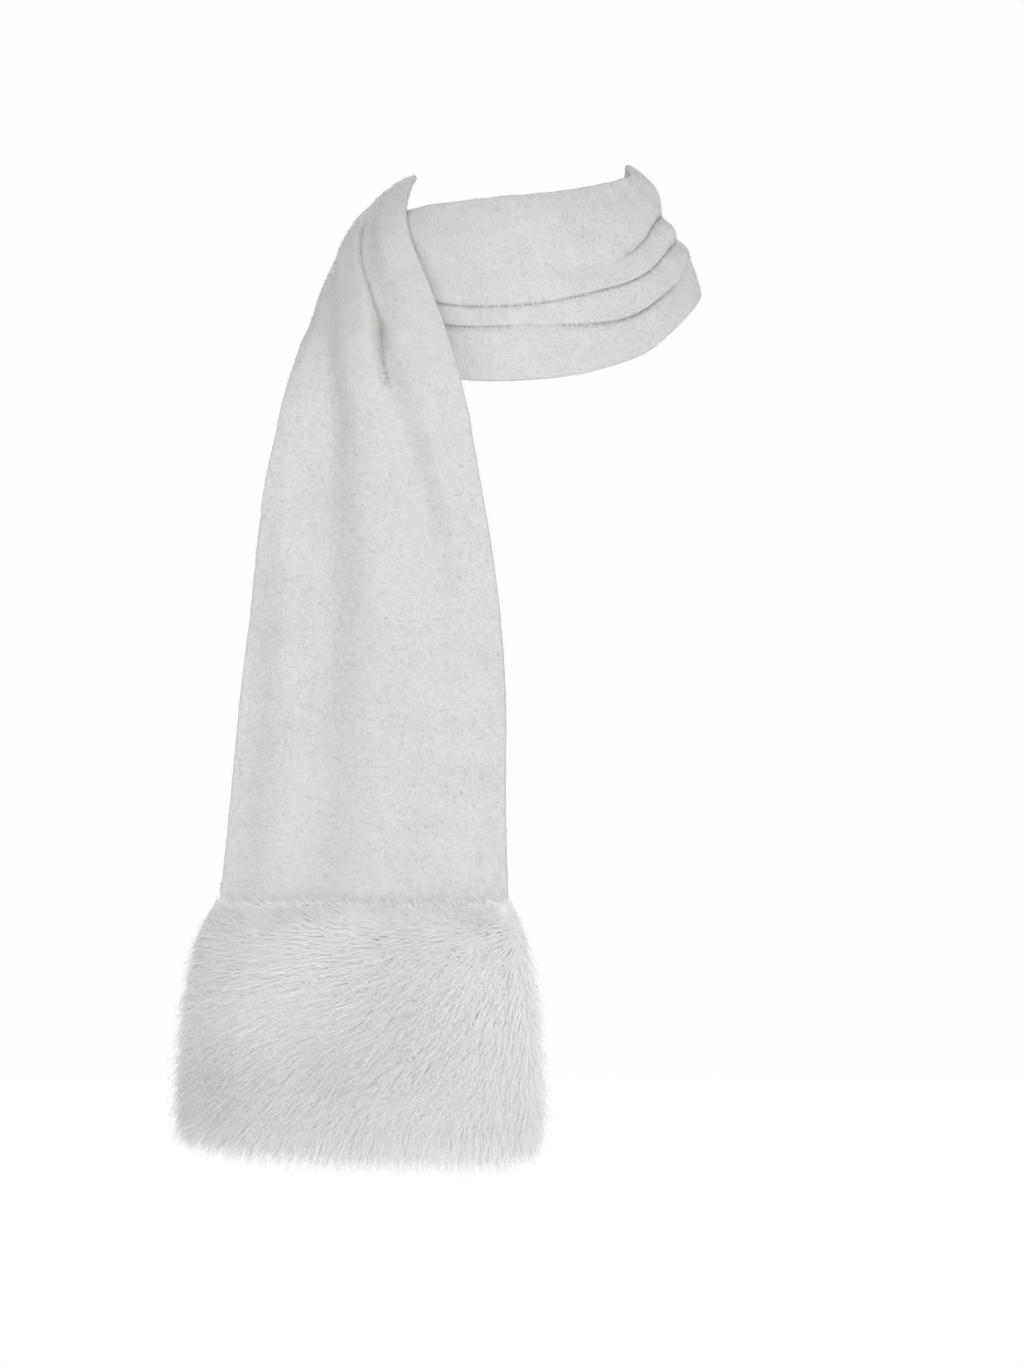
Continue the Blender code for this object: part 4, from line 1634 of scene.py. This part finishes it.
    def strayed(self, coat: Coat, roots: Roots, lock: Array, random: Chance) -> Array:
        """Says which way each hair goes, brushed with the rest or standing out.

        Args:
            coat: the kind of hair.
            roots: where the hairs start.
            lock: the number of the lock that each is in.
            random: where chance comes from.

        Returns:
            An angle from +X for each, turning upwards.
        """
        way = self.brushing
        count = len(lock)
        locks_stray = random.normal(0, coat.stray * way.lock_stray, lock.max() + 1)
        heading = self.heading(roots) + locks_stray[lock]
        stray = coat.stray + way.least_stray + way.inner_stray * ramp(roots.share, *way.straying)
        heading += random.normal(0, 1, count) * stray
        standing_out = random.random(count) < self.at_side(roots) * way.standing
        loose = self.edge_heading(roots) + random.normal(0, way.standing_stray, count)
        heading = np.where(standing_out, loose, heading)
        downward = np.radians(way.hem_heading + way.hem_turn * roots.share)
        downward += random.normal(0, way.hem_stray, count)
        return np.where(roots.drop > self.lowest_side, downward, heading)

    def tips(
        self,
        coat: Coat,
        roots: Roots,
        start: Array,
        heading: Array,
        leader: Array,
        random: Chance,
    ) -> Tips:
        """Finds where hairs end, inside the cuff's outline and above its hem.

        Args:
            coat: the kind of hair.
            roots: where the hairs start.
            start: the same as points.
            heading: which way each goes.
            leader: the hair that leads each one's lock.
            random: where chance comes from.

        Returns:
            The hairs' tips.
        """
        way = self.brushing
        count = len(heading)
        reach = random.uniform(*coat.length, count) * read_pairs(SEAM_LENGTHS, roots.drop)
        across = start[:, 0] + reach * np.cos(heading)
        drop = roots.drop - reach * np.sin(heading)
        across += (across[leader] - across) * coat.gather
        drop += (drop[leader] - drop) * coat.gather
        middle, half, _ = self.width_and_depth(drop, way.rim_fullness)
        at_rim = ramp(np.abs(across - middle) / half, *way.rim_tips)
        spread = coat.face_spread + (coat.rim_spread - coat.face_spread) * at_rim
        fullness = coat.tip_fullness - spread * self.short_of(count, way.short_power, random)
        raised = way.raised * (random.random(count) < way.few)
        fullness += (1 - at_rim) * (raised - way.sunk)
        middle, half, _ = self.width_and_depth(drop, fullness)
        share = ((across - middle) / half).clip(-1, 1)
        uneven = way.hem_uneven * self.short_of(count, way.hem_power, random)
        lowest = self.hem(share) + way.hem_longest - uneven
        cut = np.minimum(drop, np.maximum(lowest, roots.drop + way.least_drop))
        limited = np.where(roots.drop > self.lowest_side, lowest, cut)
        kept = ((limited - roots.drop) / (drop - roots.drop).clip(1e-6)).clip(way.least_kept, 1)
        across = start[:, 0] + (across - start[:, 0]) * np.where(limited < drop, kept, 1.0)
        middle, half, _ = self.width_and_depth(limited, fullness)
        share = ((across - middle) / half).clip(-0.999, 0.999)
        point = self.place(share, roots.side, limited, fullness)
        base = self.place(share, np.zeros(count), limited, fullness)[:, 1]
        level = np.maximum(np.abs(point[:, 1] - base), np.abs(start[:, 1] - base) * way.steepness)
        point[:, 1] = base + np.sign(roots.side) * level
        return Tips(share, limited, fullness, point)

    def grow(
        self, coat: Coat, roots: Roots, random: Chance
    ) -> tuple[Array, Array, Array]:
        """Grows hairs along the way that the pile is brushed, gathered into locks.

        Args:
            coat: the kind of hair.
            roots: where they start.
            random: where chance comes from.

        Returns:
            The lines, the direction that each faces at each point, and each hair's lock's tone.
        """
        way = self.brushing
        count = len(roots.share)
        start = self.place(*roots, coat.root_fullness)
        leaders, lock = self.locks(coat, roots, start, random)
        heading = self.strayed(coat, roots, lock, random)
        tips = self.tips(coat, roots, start, heading, leaders[lock], random)
        along = np.linspace(0, 1, coat.stops)
        way_out = (tips.point - start)[:, None]
        lines = start[:, None] + way_out * along[:, None]
        lines[:, :, 1] += way_out[:, :, 1] * (1 - (1 - along) ** way.bow - along)
        turns = random.uniform(*way.waves, (count, 1)) * along + random.uniform(0, math.tau, (count, 1))
        wave = np.sin(turns) * along * random.uniform(*way.wave, (count, 1))
        lines[:, :, 0] += wave
        lines[:, :, 2] -= wave
        shares = roots.share[:, None] + (tips.share - roots.share)[:, None] * along
        drops = roots.drop[:, None] + (tips.drop - roots.drop)[:, None] * along
        sides = np.broadcast_to(np.sign(roots.side)[:, None], shares.shape)
        facing = self.outward(shares, sides, drops, np.broadcast_to(tips.fullness[:, None], shares.shape))
        flattened = random.random(count) < self.at_side(roots) * way.flattened
        facing[:, :, 1] += sides * np.where(flattened, *way.turned)[:, None]
        return lines, unit(facing), random.random(len(leaders))[lock]

    def fibres(self, coat: Coat, random: Chance) -> Fibres:
        """Grows one coat, on the side, on the underside and at the rims.

        Args:
            coat: the kind of hair.
            random: where chance comes from.

        Returns:
            The coat's fibres.
        """
        side, hem = self.side_roots(coat.hairs, random), self.hem_roots(coat.hem_hairs, random)
        rim = self.rim_roots(coat.rim_hairs, random)
        roots = Roots(*(np.concatenate(parts) for parts in zip(side, hem, rim)))
        lines, facing, lock_tone = self.grow(coat, roots, random)
        count = len(lock_tone)
        across = lines[:, 0, 0]
        light = self.toning
        tone = light.plain - light.patches * patch_sum(DARK_PATCHES, across, roots.drop)
        # painted shadow in an uneven band just below the seam
        tone -= light.painted_seam_shadow(across, roots.drop)
        tone += light.locks * (lock_tone - 0.5) + light.hairs * (random.random(count) - 0.5)
        warm = light.tinted + light.patch_tinted * patch_sum(WARM_PATCHES, across, roots.drop)
        warmth = (random.random(count) < warm) * random.uniform(*light.tint, count)
        half_width = random.uniform(*coat.width, count) / 2
        return Fibres(lines, facing, half_width, tone, warmth)

    def core(self, finish: Material) -> Object:
        """Makes the woolly body that the pile grows from, coloured in the pile's painted shade.

        Args:
            finish: its material.

        Returns:
            The new object.
        """
        angles = np.arange(self.core_ring) * math.tau / self.core_ring
        share, side = self.ring(angles)
        rows = []
        for level in np.linspace(self.core_top, self.core_bottom, self.core_levels):
            rows.append(self.place(share, side, np.full(self.core_ring, level), self.core_fullness))
        rim = rows[-1]
        centre = rim.mean(axis=0)
        for shrink, lower in self.core_base:
            rows.append(centre + (rim - centre) * shrink - np.array([0, 0, lower]))
        grid = np.array(rows)
        normals = ring_normals(grid)
        outward = grid - grid.mean(axis=1, keepdims=True)
        normals *= np.sign((normals * outward).sum(axis=2).mean())
        height = grid[:, :, 2]
        lumps = np.sin(9 * angles + height / 9) + np.sin(17 * angles - height / 6)
        grid = grid + normals * lumps[:, :, None] * self.core_lump
        ends = np.arange(self.core_ring)[None]
        faces = [ring_quads(len(rows), self.core_ring), ends]
        faces.append(ends[:, ::-1] + (len(rows) - 1) * self.core_ring)
        made = mesh_object(self.name + "_core", grid, faces, normals, finish)
        plain = np.full(lumps.shape, 0.5)
        # painted shade: the core's tone is lighter on its lumps and darker in the dips between them
        carry(made, "fibre", np.stack([plain, plain + lumps / 5, np.zeros(lumps.shape)], axis=-1))
        return made

    def build(self, pile: Material, core: Material) -> None:
        """Makes the core and the coats of pile, and dresses them.

        Args:
            pile: the finish of the pile.
            core: the finish of the core, coloured in the pile's painted shade.
        """
        random = np.random.default_rng(self.seed)
        pieces = [self.core(core)]
        for coat in self.coats:
            pieces.append(self.fibres(coat, random).build(f"{self.name}_{coat.name}", pile))
        for piece in pieces:
            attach(piece, "root")
            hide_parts(self.name)
        LOG.info("%s: %d faces", self.name, sum(len(piece.data.polygons) for piece in pieces))


@dataclass
class Lamp:
    """A soft square light that looks at the scarf, placed in metres."""

    name: str
    place: Point
    size: float
    power: float

    def build(self, target: Vector) -> None:
        """Hangs the light and turns it to the target.

        Args:
            target: the point that it looks at.
        """
        data = bpy.data.lights.new(self.name, "AREA")
        data.shape = "SQUARE"
        data.size = self.size
        data.energy = self.power
        made = bpy.data.objects.new(self.name, data)
        made.location = self.place
        made.rotation_euler = (target - Vector(self.place)).to_track_quat("-Z", "Y").to_euler()
        bpy.context.scene.collection.objects.link(made)


@dataclass
class Studio:
    """The camera, the soft lights, and a pale floor that curves up all round, in metres."""

    camera_place: Point = (-0.0053, -2.8, -0.2241)
    lens: float = 126.0
    sensor: float = 36.0
    target: Point = (-0.04, -0.02, -0.22)
    floor_height: float = -0.72
    floor_radii: tuple[float, ...] = (0.02, 1.5, 3.0, 5.0)  # of its flat part
    sweep_radius: float = 1.6
    sweep_steps: int = 12
    wall_height: float = 3.0
    floor_ring: int = 64
    paint_white: Colour = (0.9, 0.9, 0.9, 1.0)
    paint_glow: float = 0.985  # how much of plain white the camera sees in place of the paint
    ambient: float = 0.46
    lamps: tuple[Lamp, ...] = (
        Lamp("key", (0.9, -2.9, 0.4), 2.6, 41.5),
        Lamp("top", (-1.0, -1.6, 2.4), 1.6, 5.0),
        Lamp("left", (-2.4, -1.3, 0.5), 1.6, 9.0),
        Lamp("right", (2.4, -1.2, 0.5), 1.6, 7.0),
        Lamp("back", (-0.3, 2.9, 0.6), 1.6, 48.0),
    )

    def camera(self) -> None:
        """Sets the camera at the picture's place and angle."""
        data = bpy.data.cameras.new("camera")
        data.lens = self.lens
        data.sensor_width = self.sensor
        made = bpy.data.objects.new("camera", data)
        made.location = self.camera_place
        made.rotation_euler = (math.pi / 2, 0, 0)
        bpy.context.scene.collection.objects.link(made)
        bpy.context.scene.camera = made

    def floor(self) -> None:
        """Makes the floor, which curves up into a wall all round."""
        bend = np.linspace(0, math.pi / 2, self.sweep_steps + 1)
        last = self.floor_radii[-1]
        radii = [*self.floor_radii[:-1], *(last + self.sweep_radius * np.sin(bend))]
        radii.append(last + self.sweep_radius)
        heights = [0.0] * (len(self.floor_radii) - 1)
        heights += [*(self.sweep_radius * (1 - np.cos(bend))), self.wall_height]
        angles = np.arange(self.floor_ring) * math.tau / self.floor_ring
        circle = np.stack([np.cos(angles), np.sin(angles), np.zeros(self.floor_ring)], axis=1)
        lift = np.array([0, 0, 1])
        grid = np.array([circle * r + lift * (self.floor_height + h) for r, h in zip(radii, heights)])
        faces = [ring_quads(len(grid), self.floor_ring), np.arange(self.floor_ring)[None]]
        floor = mesh_object("floor", grid / MM, faces, ring_normals(grid), self.paint())

    def paint(self) -> Material:
        """Makes the floor's finish: white paint that reads as plain white to the camera.

        Returns:
            The material.
        """
        made, graph = new_material("floor_white")
        seen = graph.add("LightPath").outputs["Is Camera Ray"]
        share = graph.maths("MULTIPLY", seen, self.paint_glow)
        matt = graph.add("BsdfDiffuse", {"Color": self.paint_white})
        glow = graph.add("Emission", {"Color": (1.0, 1.0, 1.0, 1.0), "Strength": 1.0})
        both = graph.add("MixShader", {0: share, 1: matt.outputs[0], 2: glow.outputs[0]})
        graph.add("OutputMaterial", {"Surface": both.outputs[0]})
        return made

    def sky(self) -> None:
        """Sets the even light that comes from all round."""
        world = bpy.data.worlds.new("studio")
        world.use_nodes = True
        graph = Graph(world.node_tree)
        glow = graph.add("Background", {"Color": (1.0, 1.0, 1.0, 1.0), "Strength": self.ambient})
        graph.add("OutputWorld", {"Surface": glow.outputs[0]})
        bpy.context.scene.world = world
        bpy.context.scene.view_settings.view_transform = "Standard"
        bpy.context.scene.view_settings.look = "None"

    def build(self) -> None:
        """Sets up the camera, the floor and the lights."""
        self.camera()
        self.floor()
        self.sky()
        for lamp in self.lamps:
            lamp.build(Vector(self.target))
        LOG.info("studio: %d lamps", len(self.lamps))


def main() -> None:
    """Builds the scarf's pieces in order, then the studio round them."""
    logging.basicConfig(level=logging.INFO, format="%(name)s %(message)s")
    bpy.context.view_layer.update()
    knit = BrushedKnit().material()
    nap = NAP_FINISH.material()
    pile = PILE_FINISH.material()
    core = PAINTED_SHADE_CORE_FINISH.material()
    strip = Strip()
    stretches = (
        ClothStretch(strip, "front_end", 0, NAPE, Held.DRAPED, ("throat_wrap",), seed=1),
        ClothStretch(strip, "nape_wrap", NAPE, THROAT, Held.GATHERED, ("back_end",), seed=2),
        ClothStretch(strip, "throat_wrap", THROAT, BACK, Held.GATHERED, ("nape_wrap",), seed=3),
        ClothStretch(strip, "back_end", BACK, LAST, Held.DRAPED, ("nape_wrap",), seed=4),
    )
    for stretch in stretches:
        stretch.build(knit, nap)
    PileCuff("front_cuff", SECTIONS[0], FRONT_COATS, seed=21).build(pile, core)
    PileCuff("back_cuff", SECTIONS[-1], BACK_COATS, seed=22).build(pile, core)
    Studio().build()


if __name__ == "__main__":
    main()
